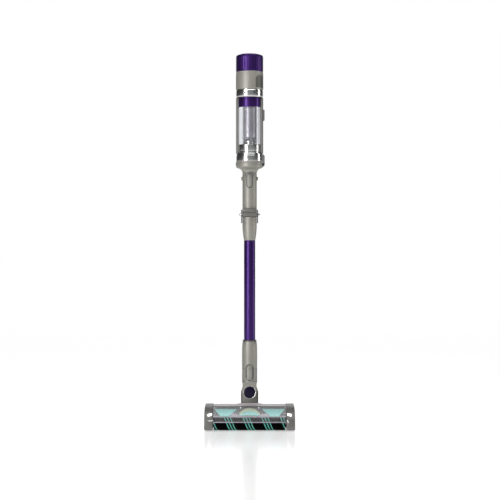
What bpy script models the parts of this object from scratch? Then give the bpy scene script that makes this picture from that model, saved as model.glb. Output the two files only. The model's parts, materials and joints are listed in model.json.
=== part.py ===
"""Cordless stick vacuum: a motorised floor head, a swivelling neck, a wand that flexes in the middle, and a
hand vacuum with a dust cup, a handle and a battery.

Metres, +Z up, the front faces -Y, the wand stands on the
Z axis and the floor is Z = 0."""

from math import acos, atan2, cos, hypot, pi, sin

import bmesh
import bpy
from mathutils import Matrix, Vector

# Fits
GAP = 0.0003  # between fixed pieces that touch
RUN = 0.0005  # between pieces that turn or slide on each other

# Floor head
HEAD_WIDTH = 0.270
HEAD_FRONT = -0.125
HEAD_REAR = 0.055
DECK_Z = 0.067
BASE_TOP = 0.040
FLOOR_WALL = 0.0033
SIDE_CAP_WIDTH = 0.0255
SHELL = 0.0022
WINDOW_LIP_Z = 0.026
WINDOW_TOP_Y = -0.0525
LAMP_LOW_Z = 0.0435
LAMP_HIGH_Z = 0.0530
SOLE_Z = 0.0012
SOLE_THICKNESS = 0.003

# Brush roll and its drive
ROLL_RADIUS = 0.024
ROLL_Y = -0.093
ROLL_END_GAP = 0.003
STUB_RADIUS = 0.004
BRUSH_MOTOR_RADIUS = 0.014
BRUSH_MOTOR_LENGTH = 0.056
BRUSH_MOTOR_Y = -0.033
BRUSH_MOTOR_Z = 0.034
ROLL_PULLEY_RADIUS = 0.0115
MOTOR_PULLEY_RADIUS = 0.0055
BELT_WIDTH = 0.007
BELT_THICKNESS = 0.0012

# Rear wheels
WHEEL_RADIUS = 0.0115
WHEEL_WIDTH = 0.012
WHEEL_X = 0.080
WHEEL_Y = 0.038
AXLE_RADIUS = 0.002

# Neck
PITCH_Y = 0.032
PITCH_Z = 0.038
DRUM_RADIUS = 0.019
TRUNNION_RADIUS = 0.005
TRUNNION_LENGTH = 0.010
YOKE_HALF_WIDTH = 0.0265
YOKE_BACK = 0.030
YOKE_FRONT = 0.006
SWIVEL_HEIGHT = 0.0685  # above the pitch axis
SWIVEL_PIN_RADIUS = 0.008
SWIVEL_CAP_RADIUS = 0.0184
NECK_RADIUS = 0.023
NECK_BODY_LENGTH = 0.070  # swivel axis to the seam
SLEEVE_LENGTH = 0.0875
SLEEVE_RIM_RADIUS = 0.0196
WAND_INSERT = 0.074
NECK_BUTTON_WIDTH = 0.0165
NECK_BUTTON_HEIGHT = 0.043
NECK_SEAT_DEPTH = 0.0075

# Wand
WAND_RADIUS = 0.01715
WAND_WALL = 0.0015
WAND_LENGTH = 0.303  # between the sleeve and the collar
COLLAR_LENGTH = 0.071
COLLAR_TAPER = 0.035
UPPER_RADIUS = 0.0218
UPPER_WALL = 0.0024
FLEX_RING_HEIGHT = 0.026
FLEX_HINGE_RISE = 0.0068  # hinge axis above the collar
KNUCKLE_RADIUS = 0.0062
CHEEK_THICKNESS = 0.0032
FLEX_PIN_RADIUS = 0.003
FOLD_LEAN = 0.577  # the brow's reach for its rise, for a fold of 150 degrees
HOSE_RADIUS = 0.015
UPPER_WAND_LENGTH = 0.1085

# Inlet base, which is also the door of the dust cup
SPIGOT_LENGTH = 0.040
THROAT_RADIUS = 0.0145
BASE_TAPER = 0.0182
BASE_FLANGE = 0.0166
DOOR_PIN_RADIUS = 0.0032
DOOR_KNUCKLE_RADIUS = 0.0058
DOOR_KNUCKLE_WIDTH = 0.015

# Hand vacuum
BODY_RADIUS = 0.0415
LOWER_RING_HEIGHT = 0.024
CUP_RADIUS = 0.0347
CUP_WALL = 0.002
CUP_RING_HEIGHT = 0.027
CUP_HEIGHT = 0.1134
CUP_TOP_HEIGHT = 0.030
SHROUD_RADIUS = 0.020
FOAM_THICKNESS = 0.012
FRAME_LIP_Y = -0.012
CUP_BUTTON_WIDTH = 0.019
CUP_BUTTON_HEIGHT = 0.035
BAND_HEIGHT = 0.0236
HOUSING_HEIGHT = 0.0544
HOUSING_WALL = 0.0025
CAP_HEIGHT = 0.049
CAP_DOME = 0.0058
MAIN_MOTOR_RADIUS = 0.025
MAIN_MOTOR_HEIGHT = 0.034
IMPELLER_RADIUS = 0.024

# Handle and battery
HANDLE_REAR = 0.125
HANDLE_HALF_WIDTH = 0.0165
BATTERY_HEIGHT = 0.088
BATTERY_HALF_WIDTH = 0.0195
BATTERY_WALL = 0.002
BUTTON_TRAVEL = 0.0025

# Stations up the wand's axis
SWIVEL_Z = PITCH_Z + SWIVEL_HEIGHT
SEAM_Z = SWIVEL_Z + NECK_BODY_LENGTH
SLEEVE_TOP = SEAM_Z + SLEEVE_LENGTH
WAND_TOP = SLEEVE_TOP + WAND_LENGTH
COLLAR_TOP = WAND_TOP + COLLAR_LENGTH
FLEX_Z = COLLAR_TOP + FLEX_HINGE_RISE
FLEX_Y = -UPPER_RADIUS - 0.0007
RING_TOP = COLLAR_TOP + FLEX_RING_HEIGHT
BASE_Z = RING_TOP + UPPER_WAND_LENGTH
FLANGE_Z = BASE_Z + BASE_TAPER
LOWER_RING_Z = FLANGE_Z + BASE_FLANGE
CUP_Z = LOWER_RING_Z + LOWER_RING_HEIGHT
CUP_CLEAR_Z = CUP_Z + CUP_RING_HEIGHT
CUP_TOP_Z = CUP_CLEAR_Z + CUP_HEIGHT
BAND_Z = CUP_TOP_Z + CUP_TOP_HEIGHT
HOUSING_Z = BAND_Z + BAND_HEIGHT
CAP_Z = HOUSING_Z + HOUSING_HEIGHT
DOOR_X = BODY_RADIUS - 0.001
DOOR_Z = FLANGE_Z + 0.0068
ROLL_Z = ROLL_RADIUS
CAP_INNER_X = HEAD_WIDTH / 2 - SIDE_CAP_WIDTH
ROLL_HALF_LENGTH = CAP_INNER_X - ROLL_END_GAP
WAND_BORE = WAND_RADIUS + RUN
UPPER_BORE = UPPER_RADIUS - UPPER_WALL

COLOURS = {  # base colour, roughness, metallic, alpha
    "purple_gloss": ((0.060, 0.014, 0.150), 0.22, 0.35, 1.0),
    "dark_purple": ((0.012, 0.005, 0.035), 0.20, 0.20, 1.0),
    "warm_grey": ((0.235, 0.230, 0.205), 0.38, 0.30, 1.0),
    "dark_grey": ((0.075, 0.072, 0.068), 0.50, 0.00, 1.0),
    "silver_trim": ((0.620, 0.620, 0.610), 0.20, 1.00, 1.0),
    "clear_smoke": ((0.800, 0.800, 0.830), 0.05, 0.00, 0.25),
    "teal_panel": ((0.160, 0.560, 0.520), 0.35, 0.00, 1.0),
    "lamp_white": ((0.900, 0.900, 0.900), 0.20, 0.00, 1.0),
    "black_rubber": ((0.012, 0.012, 0.012), 0.75, 0.00, 1.0),
    "brush_black": ((0.008, 0.010, 0.010), 0.85, 0.00, 1.0),
    "steel": ((0.500, 0.500, 0.500), 0.30, 1.00, 1.0),
    "shroud_grey": ((0.200, 0.190, 0.215), 0.35, 0.60, 1.0),
    "foam": ((0.100, 0.110, 0.120), 0.95, 0.00, 1.0),
    "filter_paper": ((0.720, 0.710, 0.660), 0.90, 0.00, 1.0),
    "board_green": ((0.030, 0.120, 0.060), 0.50, 0.00, 1.0),
    "cell_blue": ((0.050, 0.120, 0.280), 0.40, 0.00, 1.0),
}

TURN = {"X": (0, pi / 2, 0), "Y": (pi / 2, 0, 0), "Z": (0, 0, 0)}
FACE = {"X": (pi / 2, 0, pi / 2), "Y": (pi / 2, 0, 0), "Z": (0, 0, 0)}


def clear_scene():
    for obj in list(bpy.data.objects):
        bpy.data.objects.remove(obj, do_unlink=True)


def new_collection(name):
    collection = bpy.data.collections.new(name)
    bpy.context.scene.collection.children.link(collection)
    return collection


clear_scene()
PARTS = new_collection("stick_vacuum")
CUTTERS = new_collection("cutters")
FRAMES = {}
MATERIALS = {}


def material(name):
    """The named material, made on first use."""
    if name not in MATERIALS:
        colour, roughness, metallic, alpha = COLOURS[name]
        made = bpy.data.materials.new(name)
        made.use_nodes = True
        shader = made.node_tree.nodes["Principled BSDF"]
        shader.inputs["Base Color"].default_value = (*colour, 1.0)
        shader.inputs["Roughness"].default_value = roughness
        shader.inputs["Metallic"].default_value = metallic
        shader.inputs["Alpha"].default_value = alpha
        made.diffuse_color = (*colour, alpha)
        MATERIALS[name] = made
    return MATERIALS[name]


def frame(body, location, parent=None):
    """An empty on the body's joint axis, which the body's pieces hang from."""
    empty = bpy.data.objects.new(f"{body}_frame", None)
    empty.empty_display_size = 0.02
    empty.location = location
    PARTS.objects.link(empty)
    FRAMES[body] = empty
    if parent:
        hang(empty, parent)


def hang(obj, body):
    """Parent obj to the body's empty without moving it."""
    obj.parent = FRAMES[body]
    obj.matrix_parent_inverse = Matrix.Translation(-FRAMES[body].location)


def put(obj, body, colour):
    """Make obj a finished piece of the body."""
    PARTS.objects.link(obj)
    hang(obj, body)
    obj.data.materials.append(material(colour))
    obj.data.shade_smooth()
    obj.data.set_sharp_from_angle(angle=0.6)
    return obj


def tool(obj):
    """Make obj a shape that only cuts or joins."""
    CUTTERS.objects.link(obj)
    obj.hide_render = True
    obj.display_type = "WIRE"
    return obj


def combine(obj, operation, others):
    for other in others:
        made = obj.modifiers.new(other.name, "BOOLEAN")
        made.operation = operation
        made.solver = "EXACT"
        made.object = tool(other)
    return obj


def cut(obj, *cutters):
    return combine(obj, "DIFFERENCE", cutters)


def join(obj, *others):
    return combine(obj, "UNION", others)


def keep_common(obj, other):
    return combine(obj, "INTERSECT", [other])


def bevel(obj, width, segments=2):
    made = obj.modifiers.new("rounded_edges", "BEVEL")
    made.width = width
    made.segments = segments
    made.limit_method = "ANGLE"
    made.angle_limit = 0.7
    return obj


def object_from(bm, name, location=(0, 0, 0), rotation=(0, 0, 0)):
    mesh = bpy.data.meshes.new(name)
    bm.to_mesh(mesh)
    bm.free()
    obj = bpy.data.objects.new(name, mesh)
    obj.location = location
    obj.rotation_euler = rotation
    return obj


def box(name, low, high, edge=0.0):
    """A box between two corners, with rounded edges where edge is given."""
    size = Vector(high) - Vector(low)
    bm = bmesh.new()
    bmesh.ops.create_cube(bm, size=1.0, matrix=Matrix.Diagonal((*size, 1.0)))
    obj = object_from(bm, name, (Vector(low) + Vector(high)) / 2)
    return bevel(obj, edge) if edge else obj


def cylinder(name, radius, low, high, at=(0.0, 0.0), axis="Z", sides=24):
    """A cylinder along an axis, from low to high, at two coordinates on the other axes in X, Y, Z order."""
    bm = bmesh.new()
    bmesh.ops.create_cone(
        bm, cap_ends=True, segments=sides, radius1=radius, radius2=radius, depth=high - low
    )
    middle = list(at)
    middle.insert("XYZ".index(axis), (low + high) / 2)
    return object_from(bm, name, middle, TURN[axis])


def turned(name, profile, at=(0.0, 0.0, 0.0), axis="Z", steps=28):
    """A profile of (radius, height) turned round an axis, run down the outer side, then up any bore."""
    solid = profile[0][0] == 0.0
    count = len(profile)
    edges = [(i, i + 1) for i in range(count - 1)]
    if not solid:
        edges.append((count - 1, 0))
    mesh = bpy.data.meshes.new(name)
    mesh.from_pydata([(radius, 0.0, height) for radius, height in profile], edges, [])
    obj = bpy.data.objects.new(name, mesh)
    obj.location = at
    obj.rotation_euler = TURN[axis]
    made = obj.modifiers.new("turn", "SCREW")
    made.axis = "Z"
    made.steps = steps
    made.render_steps = steps
    made.use_merge_vertices = True
    made.merge_threshold = 0.00001
    made.use_smooth_shade = True
    return obj


def ring(name, outer, inner, low, high, at=(0.0, 0.0), axis="Z", steps=28):
    """A plain ring or tube along an axis, placed as a cylinder is."""
    middle = list(at)
    middle.insert("XYZ".index(axis), (low + high) / 2)
    half = (high - low) / 2
    profile = [(outer, half), (outer, -half), (inner, -half), (inner, half)]
    return turned(name, profile, middle, axis, steps)


def plate(name, outlines, low, high, across="X", edge=0.0):
    """Closed outlines, a rim and any holes in it, extruded from low to high across an axis.

    The outlines hold
    (y, z) points across X, (x, z) points across Y and (x, y) points across Z."""
    curve = bpy.data.curves.new(name, "CURVE")
    curve.dimensions = "2D"
    curve.fill_mode = "BOTH"
    curve.extrude = (high - low) / 2
    for outline in outlines:
        spline = curve.splines.new("POLY")
        spline.points.add(len(outline) - 1)
        for point, (u, v) in zip(spline.points, outline):
            point.co = (u, v, 0.0, 1.0)
        spline.use_cyclic_u = True
    flat = bpy.data.objects.new(f"{name}_outline", curve)
    bpy.context.scene.collection.objects.link(flat)
    graph = bpy.context.evaluated_depsgraph_get()
    mesh = bpy.data.meshes.new_from_object(flat.evaluated_get(graph))
    bpy.data.objects.remove(flat, do_unlink=True)
    bm = bmesh.new()
    bm.from_mesh(mesh)
    bmesh.ops.remove_doubles(bm, verts=bm.verts, dist=0.00001)
    bmesh.ops.recalc_face_normals(bm, faces=bm.faces)
    middle = [0.0, 0.0, 0.0]
    middle["XYZ".index(across)] = (low + high) / 2
    obj = object_from(bm, name, middle, FACE[across])
    return bevel(obj, edge) if edge else obj


def arc(centre, radius, start, end, steps):
    """Points on a circle, from one angle to another, both included."""
    turns = [start + (end - start) * i / steps for i in range(steps + 1)]
    return [(centre[0] + radius * cos(turn), centre[1] + radius * sin(turn)) for turn in turns]


def bend(start, pull, end, steps=8):
    """Points on a smooth curve from start to end that leans towards pull."""
    points = []
    for i in range(steps + 1):
        t = i / steps
        weights = ((1 - t) ** 2, 2 * t * (1 - t), t**2)
        points.append(tuple(sum(w * p[k] for w, p in zip(weights, (start, pull, end))) for k in (0, 1)))
    return points


def strip(path, thickness):
    """The outline of a bent strip: the path, and back along the path moved to its left."""
    back = []
    for i, point in enumerate(path):
        before = Vector(path[max(i - 1, 0)])
        after = Vector(path[min(i + 1, len(path) - 1)])
        along = (after - before).normalized()
        back.append((point[0] - along.y * thickness, point[1] + along.x * thickness))
    return list(path) + back[::-1]


def oval(width, height, centre, steps=8):
    """An upright slot with round ends."""
    radius = width / 2
    rise = height / 2 - radius
    upper = arc((centre[0], centre[1] + rise), radius, 0, pi, steps)
    lower = arc((centre[0], centre[1] - rise), radius, pi, 2 * pi, steps)
    return upper + lower


def rounded(low, high, radius, steps=3):
    """A rectangle between two corners with round corners."""
    points = []
    corners = [(high[0], high[1]), (low[0], high[1]), (low[0], low[1]), (high[0], low[1])]
    for i, (u, v) in enumerate(corners):
        centre = (u - radius if u == high[0] else u + radius, v - radius if v == high[1] else v + radius)
        points += arc(centre, radius, i * pi / 2, (i + 1) * pi / 2, steps)
    return points


def make_frames():
    """One empty for each moving body, on its joint's axis, nested as the bodies are."""
    frame("head", (0, 0, 0))
    frame("brush_roll", (0, ROLL_Y, ROLL_Z), "head")
    frame("motor_pulley", (0, BRUSH_MOTOR_Y, BRUSH_MOTOR_Z), "head")
    frame("left_wheel", (-WHEEL_X, WHEEL_Y, WHEEL_RADIUS), "head")
    frame("right_wheel", (WHEEL_X, WHEEL_Y, WHEEL_RADIUS), "head")
    frame("yoke", (0, PITCH_Y, PITCH_Z), "head")
    frame("neck", (0, 0, SWIVEL_Z), "yoke")
    frame("neck_button", (0, -NECK_RADIUS, SEAM_Z), "neck")
    frame("lower_wand", (0, 0, SLEEVE_TOP), "neck")
    frame("flex_button", (0, UPPER_RADIUS, COLLAR_TOP), "lower_wand")
    frame("upper_wand", (0, FLEX_Y, FLEX_Z), "lower_wand")
    frame("wand_button", (0, -UPPER_RADIUS, BASE_Z), "upper_wand")
    frame("inlet_base", (0, 0, BASE_Z), "upper_wand")
    frame("door_latch", (-BODY_RADIUS, 0, FLANGE_Z), "inlet_base")
    frame("hand_vacuum", (DOOR_X, 0, DOOR_Z), "inlet_base")
    frame("impeller", (0, 0, HOUSING_Z), "hand_vacuum")
    frame("dust_cup", (0, 0, CUP_Z), "hand_vacuum")
    frame("cup_button", (BODY_RADIUS, 0, CUP_TOP_Z), "hand_vacuum")
    frame("filter_cap", (0, 0, CAP_Z), "hand_vacuum")
    frame("power_button", (0, BODY_RADIUS, CAP_Z), "hand_vacuum")
    frame("mode_button", (0, BODY_RADIUS, CAP_Z), "hand_vacuum")
    frame("battery", (0, HANDLE_REAR, BAND_Z), "hand_vacuum")
    frame("battery_button", (0, HANDLE_REAR, BAND_Z), "battery")


# Floor head


def window_path():
    """The outer face of the clear window, from the deck down to its front lip."""
    top = (WINDOW_TOP_Y, DECK_Z)
    return bend(top, (HEAD_FRONT + 0.017, DECK_Z), (HEAD_FRONT + 0.0045, WINDOW_LIP_Z), 8)


def side_outline():
    """The head seen from the side, as (y, z)."""
    brow_z = DECK_Z + 0.0015
    front = bend((WINDOW_TOP_Y, brow_z), (HEAD_FRONT + 0.018, DECK_Z), (HEAD_FRONT, 0.030), 8)
    back = bend((HEAD_REAR, 0.030), (HEAD_REAR, 0.049), (HEAD_REAR - 0.040, brow_z), 6)
    foot = [(HEAD_FRONT, 0.009), (HEAD_FRONT + 0.005, 0.003), (HEAD_REAR - 0.006, 0.003)]
    return front + foot + back


def make_head_base():
    half = CAP_INNER_X - GAP
    floor_z = SOLE_Z + SOLE_THICKNESS + GAP
    rear = HEAD_REAR
    slot_front = YOKE_FRONT - 0.0015
    slot_half = YOKE_HALF_WIDTH + 0.002
    base = box("head_base", (-half, -0.060, floor_z), (half, rear, BASE_TOP))
    ears = [
        box(
            f"ear_{side}",
            (slot_half if side > 0 else -slot_half - 0.016, PITCH_Y - 0.012, BASE_TOP - 0.010),
            (slot_half + 0.016 if side > 0 else -slot_half, PITCH_Y + 0.012, PITCH_Z + 0.0095),
        )
        for side in (-1, 1)
    ]
    wall = box("front_wall", (-half, -0.060, floor_z + 0.002), (half, -0.0555, DECK_Z - 0.0065))
    join(base, wall, *ears)
    trough = box("trough", (-half + 0.005, -0.054, floor_z + FLOOR_WALL), (half - 0.005, -0.001, 0.1))
    slot = box("slot", (-slot_half, slot_front, PITCH_Z - DRUM_RADIUS - 0.002), (slot_half, 0.1, 0.1))
    intake = box("intake", (-0.022, -0.070, 0.010), (0.022, -0.050, 0.034))
    passage = box("passage", (-0.016, -0.005, 0.020), (0.016, 0.010, 0.036))
    reach = slot_half + TRUNNION_LENGTH + 0.001
    trunnions = cylinder("trunnion_bore", TRUNNION_RADIUS + RUN, -reach, reach, (PITCH_Y, PITCH_Z), "X")
    reach = WHEEL_X + 0.010
    axle = cylinder("axle_bore", AXLE_RADIUS + GAP, -reach, reach, (WHEEL_Y, WHEEL_RADIUS), "X", 16)
    cut(base, trough, slot, intake, passage, trunnions, axle)
    for side in (-1, 1):
        inner, outer = sorted((side * 0.050, side * (half - 0.005)))
        cut(base, box(f"pocket_{side}", (inner, 0.006, 0.030), (outer, rear - 0.005, 0.1)))
        cut(base, wheel_well(side, f"well_{side}"))
    shaft = cylinder(
        "shaft_bore", 0.0035, -half - 0.01, -half + 0.012, (BRUSH_MOTOR_Y, BRUSH_MOTOR_Z), "X", 16
    )
    cut(base, shaft)
    put(base, "head", "dark_grey")


def wheel_well(side, name):
    reach = WHEEL_RADIUS + 0.001
    half = WHEEL_WIDTH / 2 + 0.0015
    low = (side * WHEEL_X - half, WHEEL_Y - reach, -0.01)
    high = (side * WHEEL_X + half, WHEEL_Y + reach, 2 * WHEEL_RADIUS + 0.002)
    return box(name, low, high)


def make_head_cover():
    half = CAP_INNER_X - GAP
    slope = bend((0.012, DECK_Z), (HEAD_REAR, 0.058), (HEAD_REAR, BASE_TOP + 2 * GAP), 5)
    outline = strip(([(WINDOW_TOP_Y + GAP, DECK_Z)] + slope)[::-1], SHELL)
    cover = plate("head_cover", [outline], -half, half)
    shoulder = DECK_Z + 0.0045
    crown = bend((-0.036, shoulder), (0, shoulder + 0.003), (0.036, shoulder), 6)
    hood = plate(
        "hood",
        [[(-0.044, DECK_Z - 0.001), *crown, (0.044, DECK_Z - 0.001)]],
        -0.012,
        0.003,
        "Y",
    )
    join(cover, hood)
    recess = YOKE_HALF_WIDTH + 0.003
    cut(cover, box("recess", (-recess, YOKE_FRONT - 0.0035, 0.020), (recess, 0.1, 0.1)))
    put(cover, "head", "warm_grey")


def make_window():
    half = CAP_INNER_X - GAP
    put(plate("front_window", [strip(window_path(), 0.002)], -half, half), "head", "clear_smoke")
    path = bend((-0.0550, DECK_Z - 0.0035), (-0.084, DECK_Z - 0.0055), (-0.0975, 0.0525), 6)
    put(plate("light_panel", [strip(path, 0.0012)], -half + GAP, half - GAP), "head", "teal_panel")


def make_sole_plate():
    sole = box("sole_plate", (-0.104, -0.0585, SOLE_Z), (0.104, HEAD_REAR - 0.001, SOLE_Z + SOLE_THICKNESS))
    cut(sole, *[wheel_well(side, f"sole_well_{side}") for side in (-1, 1)])
    put(sole, "head", "dark_grey")


def make_side_cap(side, name):
    """A side module of the head: the left one holds the belt drive, the right one the roll's far bearing."""
    inner = CAP_INNER_X
    outer = HEAD_WIDTH / 2
    low, high = sorted((side * inner, side * outer))
    cap = plate(name, [side_outline()], low, high, edge=0.0025)
    low, high = sorted((side * (inner - 0.01), side * (outer - 0.0045)))
    bore = cylinder(f"{name}_bore", STUB_RADIUS + RUN, low, high, (ROLL_Y, ROLL_Z), "X", 20)
    low, high = sorted((side * (inner + 0.0015), side * (outer - 0.010)))
    lamp_back = HEAD_FRONT + 0.0215
    lamp = box(f"{name}_lamp_seat", (low, HEAD_FRONT - 0.01, LAMP_LOW_Z), (high, lamp_back, LAMP_HIGH_Z))
    cut(cap, bore, lamp)
    if side < 0:
        depth = BELT_WIDTH + 0.0035
        far = BRUSH_MOTOR_Y + MOTOR_PULLEY_RADIUS + 0.0045
        low = ROLL_Z - ROLL_PULLEY_RADIUS - 0.0025
        top = max(ROLL_Z + ROLL_PULLEY_RADIUS, BRUSH_MOTOR_Z + MOTOR_PULLEY_RADIUS) + 0.0024
        near = ROLL_Y - ROLL_PULLEY_RADIUS - 0.0035
        cavity = box("belt_cavity", (-inner - depth, near, low), (-inner + 0.01, far, top))
        cut(cap, cavity)
    put(cap, "head", "dark_grey")
    low, high = sorted((side * (inner + 0.0015 + GAP), side * (outer - 0.010 - GAP)))
    lens = box(
        f"{name.split('_')[0]}_headlight",
        (low, HEAD_FRONT - 0.01, LAMP_LOW_Z + GAP),
        (high, lamp_back - GAP, LAMP_HIGH_Z - GAP),
    )
    keep_common(lens, plate(f"{name}_lens_face", [side_outline()], low - 0.01, high + 0.01))
    put(lens, "head", "lamp_white")


def make_roll():
    half = ROLL_HALF_LENGTH
    stub = HEAD_WIDTH / 2 - 0.0045 - 0.001
    profile = [
        (0, stub), (STUB_RADIUS, stub), (STUB_RADIUS, half), (ROLL_RADIUS - 0.001, half),
        (ROLL_RADIUS, half - 0.001), (ROLL_RADIUS, -half + 0.001), (ROLL_RADIUS - 0.001, -half),
        (STUB_RADIUS, -half), (STUB_RADIUS, -stub), (0, -stub),
    ]
    put(turned("brush_roll", profile, (0, ROLL_Y, ROLL_Z), "X", 32), "brush_roll", "brush_black")
    low = -CAP_INNER_X - 0.001 - BELT_WIDTH
    at = (ROLL_Y, ROLL_Z)
    bore = STUB_RADIUS + GAP
    pulley = ring("roll_pulley", ROLL_PULLEY_RADIUS, bore, low, low + BELT_WIDTH, at, "X", 24)
    put(pulley, "brush_roll", "dark_grey")


def belt_loop(extra):
    """The outline round both pulleys, standing off them by extra, as (y, z)."""
    big = (ROLL_Y, ROLL_Z)
    small = (BRUSH_MOTOR_Y, BRUSH_MOTOR_Z)
    along = atan2(small[1] - big[1], small[0] - big[0])
    apart = hypot(small[0] - big[0], small[1] - big[1])
    lean = acos((ROLL_PULLEY_RADIUS - MOTOR_PULLEY_RADIUS) / apart)
    far = arc(big, ROLL_PULLEY_RADIUS + extra, along + lean, along + 2 * pi - lean, 20)
    near = arc(small, MOTOR_PULLEY_RADIUS + extra, along - lean, along + lean, 10)
    return far + near


def make_drive():
    low = -CAP_INNER_X - 0.001 - BELT_WIDTH
    high = low + BELT_WIDTH
    belt = plate("drive_belt", [belt_loop(GAP + BELT_THICKNESS), belt_loop(GAP)], low + GAP, high - GAP)
    put(belt, "head", "black_rubber")
    at = (0, BRUSH_MOTOR_Y, BRUSH_MOTOR_Z)
    shaft_end = -CAP_INNER_X + 0.014
    profile = [
        (0, shaft_end), (0.003, shaft_end), (0.003, high), (MOTOR_PULLEY_RADIUS, high),
        (MOTOR_PULLEY_RADIUS, low), (0, low),
    ]
    put(turned("motor_pulley", profile, at, "X", 20), "motor_pulley", "steel")
    motor_low = shaft_end + RUN
    motor_high = motor_low + BRUSH_MOTOR_LENGTH
    radius = BRUSH_MOTOR_RADIUS
    profile = [
        (0, motor_high), (radius - 0.002, motor_high), (radius, motor_high - 0.002),
        (radius, motor_low + 0.002), (radius - 0.002, motor_low), (0, motor_low),
    ]
    put(turned("brush_motor", profile, at, "X", 24), "head", "steel")


def make_wheels():
    at = (WHEEL_Y, WHEEL_RADIUS)
    half = WHEEL_WIDTH / 2
    put(cylinder("rear_axle", AXLE_RADIUS, -WHEEL_X - 0.009, WHEEL_X + 0.009, at, "X", 16), "head", "steel")
    for side, name in ((-1, "left"), (1, "right")):
        profile = [
            (WHEEL_RADIUS - 0.001, half), (WHEEL_RADIUS, half - 0.001), (WHEEL_RADIUS, -half + 0.001),
            (WHEEL_RADIUS - 0.001, -half), (AXLE_RADIUS + GAP, -half), (AXLE_RADIUS + GAP, half),
        ]
        wheel = turned(f"{name}_wheel", profile, (side * WHEEL_X, *at), "X", 24)
        put(wheel, f"{name}_wheel", "black_rubber")


# Neck


def make_yoke():
    """The pitch drum on its trunnions, and the hollow arm that carries the swivel."""
    arm_half = YOKE_HALF_WIDTH - 0.002
    axis = (PITCH_Y, PITCH_Z)
    yoke = cylinder("yoke", DRUM_RADIUS, -YOKE_HALF_WIDTH, YOKE_HALF_WIDTH, axis, "X", 32)
    reach = YOKE_HALF_WIDTH + 0.002 + TRUNNION_LENGTH
    trunnions = cylinder("trunnions", TRUNNION_RADIUS, -reach, reach, axis, "X", 20)
    arm_foot = PITCH_Z + 0.002
    outline = arc((0, SWIVEL_Z), arm_half, 0, pi, 16) + [(-arm_half, arm_foot), (arm_half, arm_foot)]
    join(yoke, trunnions, plate("arm", [outline], YOKE_FRONT, YOKE_BACK, "Y"))
    duct_half = THROAT_RADIUS
    wall = 0.0035
    back = YOKE_BACK - wall
    duct = box("yoke_duct", (-duct_half, YOKE_FRONT + wall, PITCH_Z - 0.008), (duct_half, back, 0.3))
    mouth = box("duct_mouth", (-duct_half, 0.0, PITCH_Z - 0.0145), (duct_half, back, PITCH_Z))
    hole_end = YOKE_FRONT + wall + 0.004
    hole = cylinder("swivel_hole", SWIVEL_PIN_RADIUS + RUN, 0.0, hole_end, (0, SWIVEL_Z), "Y")
    cut(yoke, duct, mouth, hole)
    put(yoke, "yoke", "dark_grey")


def neck_seat(name):
    """The well of the neck's release button, which crosses the seam."""
    centre = (0, SEAM_Z - 0.012)
    outline = oval(NECK_BUTTON_WIDTH + 2 * RUN, NECK_BUTTON_HEIGHT + 2 * RUN, centre)
    return plate(name, [outline], -NECK_RADIUS - 0.01, -NECK_RADIUS + NECK_SEAT_DEPTH, "Y")


def make_neck():
    boss_radius = SWIVEL_CAP_RADIUS + 0.003
    shoulder = SWIVEL_Z + YOKE_HALF_WIDTH
    body = cylinder("neck_body", NECK_RADIUS, shoulder, SEAM_Z, sides=28)
    boss_back = YOKE_FRONT - RUN
    outline = arc((0, SWIVEL_Z), boss_radius, pi, 2 * pi, 16) + [
        (boss_radius, SWIVEL_Z + 0.006), (NECK_RADIUS - 0.0015, shoulder + 0.004),
        (-NECK_RADIUS + 0.0015, shoulder + 0.004), (-boss_radius, SWIVEL_Z + 0.006),
    ]
    join(body, plate("boss", [outline], -NECK_RADIUS, boss_back, "Y"))
    bore = cylinder("neck_bore", THROAT_RADIUS, shoulder - 0.0005, SEAM_Z + 0.01, (0, 0.004))
    pin_hole = cylinder("pin_hole", SWIVEL_PIN_RADIUS + GAP, -0.04, 0.02, (0, SWIVEL_Z), "Y")
    cut(body, bore, pin_hole, neck_seat("body_seat"))
    put(body, "neck", "warm_grey")

    wand_end = SLEEVE_TOP - WAND_INSERT
    low = SEAM_Z + GAP
    profile = [
        (SLEEVE_RIM_RADIUS, SLEEVE_TOP), *bend((SLEEVE_RIM_RADIUS + 0.0006, SLEEVE_TOP - 0.001),
        (NECK_RADIUS, SLEEVE_TOP - 0.014), (NECK_RADIUS, SLEEVE_TOP - 0.033), 5), (NECK_RADIUS, low),
        (THROAT_RADIUS, low), (THROAT_RADIUS, wand_end - GAP), (WAND_BORE, wand_end - GAP),
        (WAND_BORE, SLEEVE_TOP),
    ]
    put(cut(turned("neck_sleeve", profile), neck_seat("sleeve_seat")), "neck", "warm_grey")

    pin = cylinder("swivel_pin", SWIVEL_PIN_RADIUS, -NECK_RADIUS, YOKE_FRONT + 0.0045, (0, SWIVEL_Z), "Y")
    put(pin, "neck", "steel")
    rim = SWIVEL_CAP_RADIUS
    profile = [(0, 0.0048), (rim * 0.6, 0.0045), (rim - 0.002, 0.0036), (rim, 0.0018), (rim, 0), (0, 0)]
    cap = turned("swivel_cap", profile, (0, -NECK_RADIUS - GAP, SWIVEL_Z), "Y", 32)
    put(cap, "neck", "dark_purple")

    outline = oval(NECK_BUTTON_WIDTH, NECK_BUTTON_HEIGHT, (0, SEAM_Z - 0.012))
    back = -NECK_RADIUS + NECK_SEAT_DEPTH - BUTTON_TRAVEL - RUN
    button = plate("neck_button", [outline], -NECK_RADIUS - 0.005, back, "Y")
    crown = cylinder("button_crown", NECK_RADIUS + 0.0012, wand_end - 0.1, wand_end + 0.1, sides=32)
    keep_common(button, crown)
    put(button, "neck_button", "warm_grey")


# Wand


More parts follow.
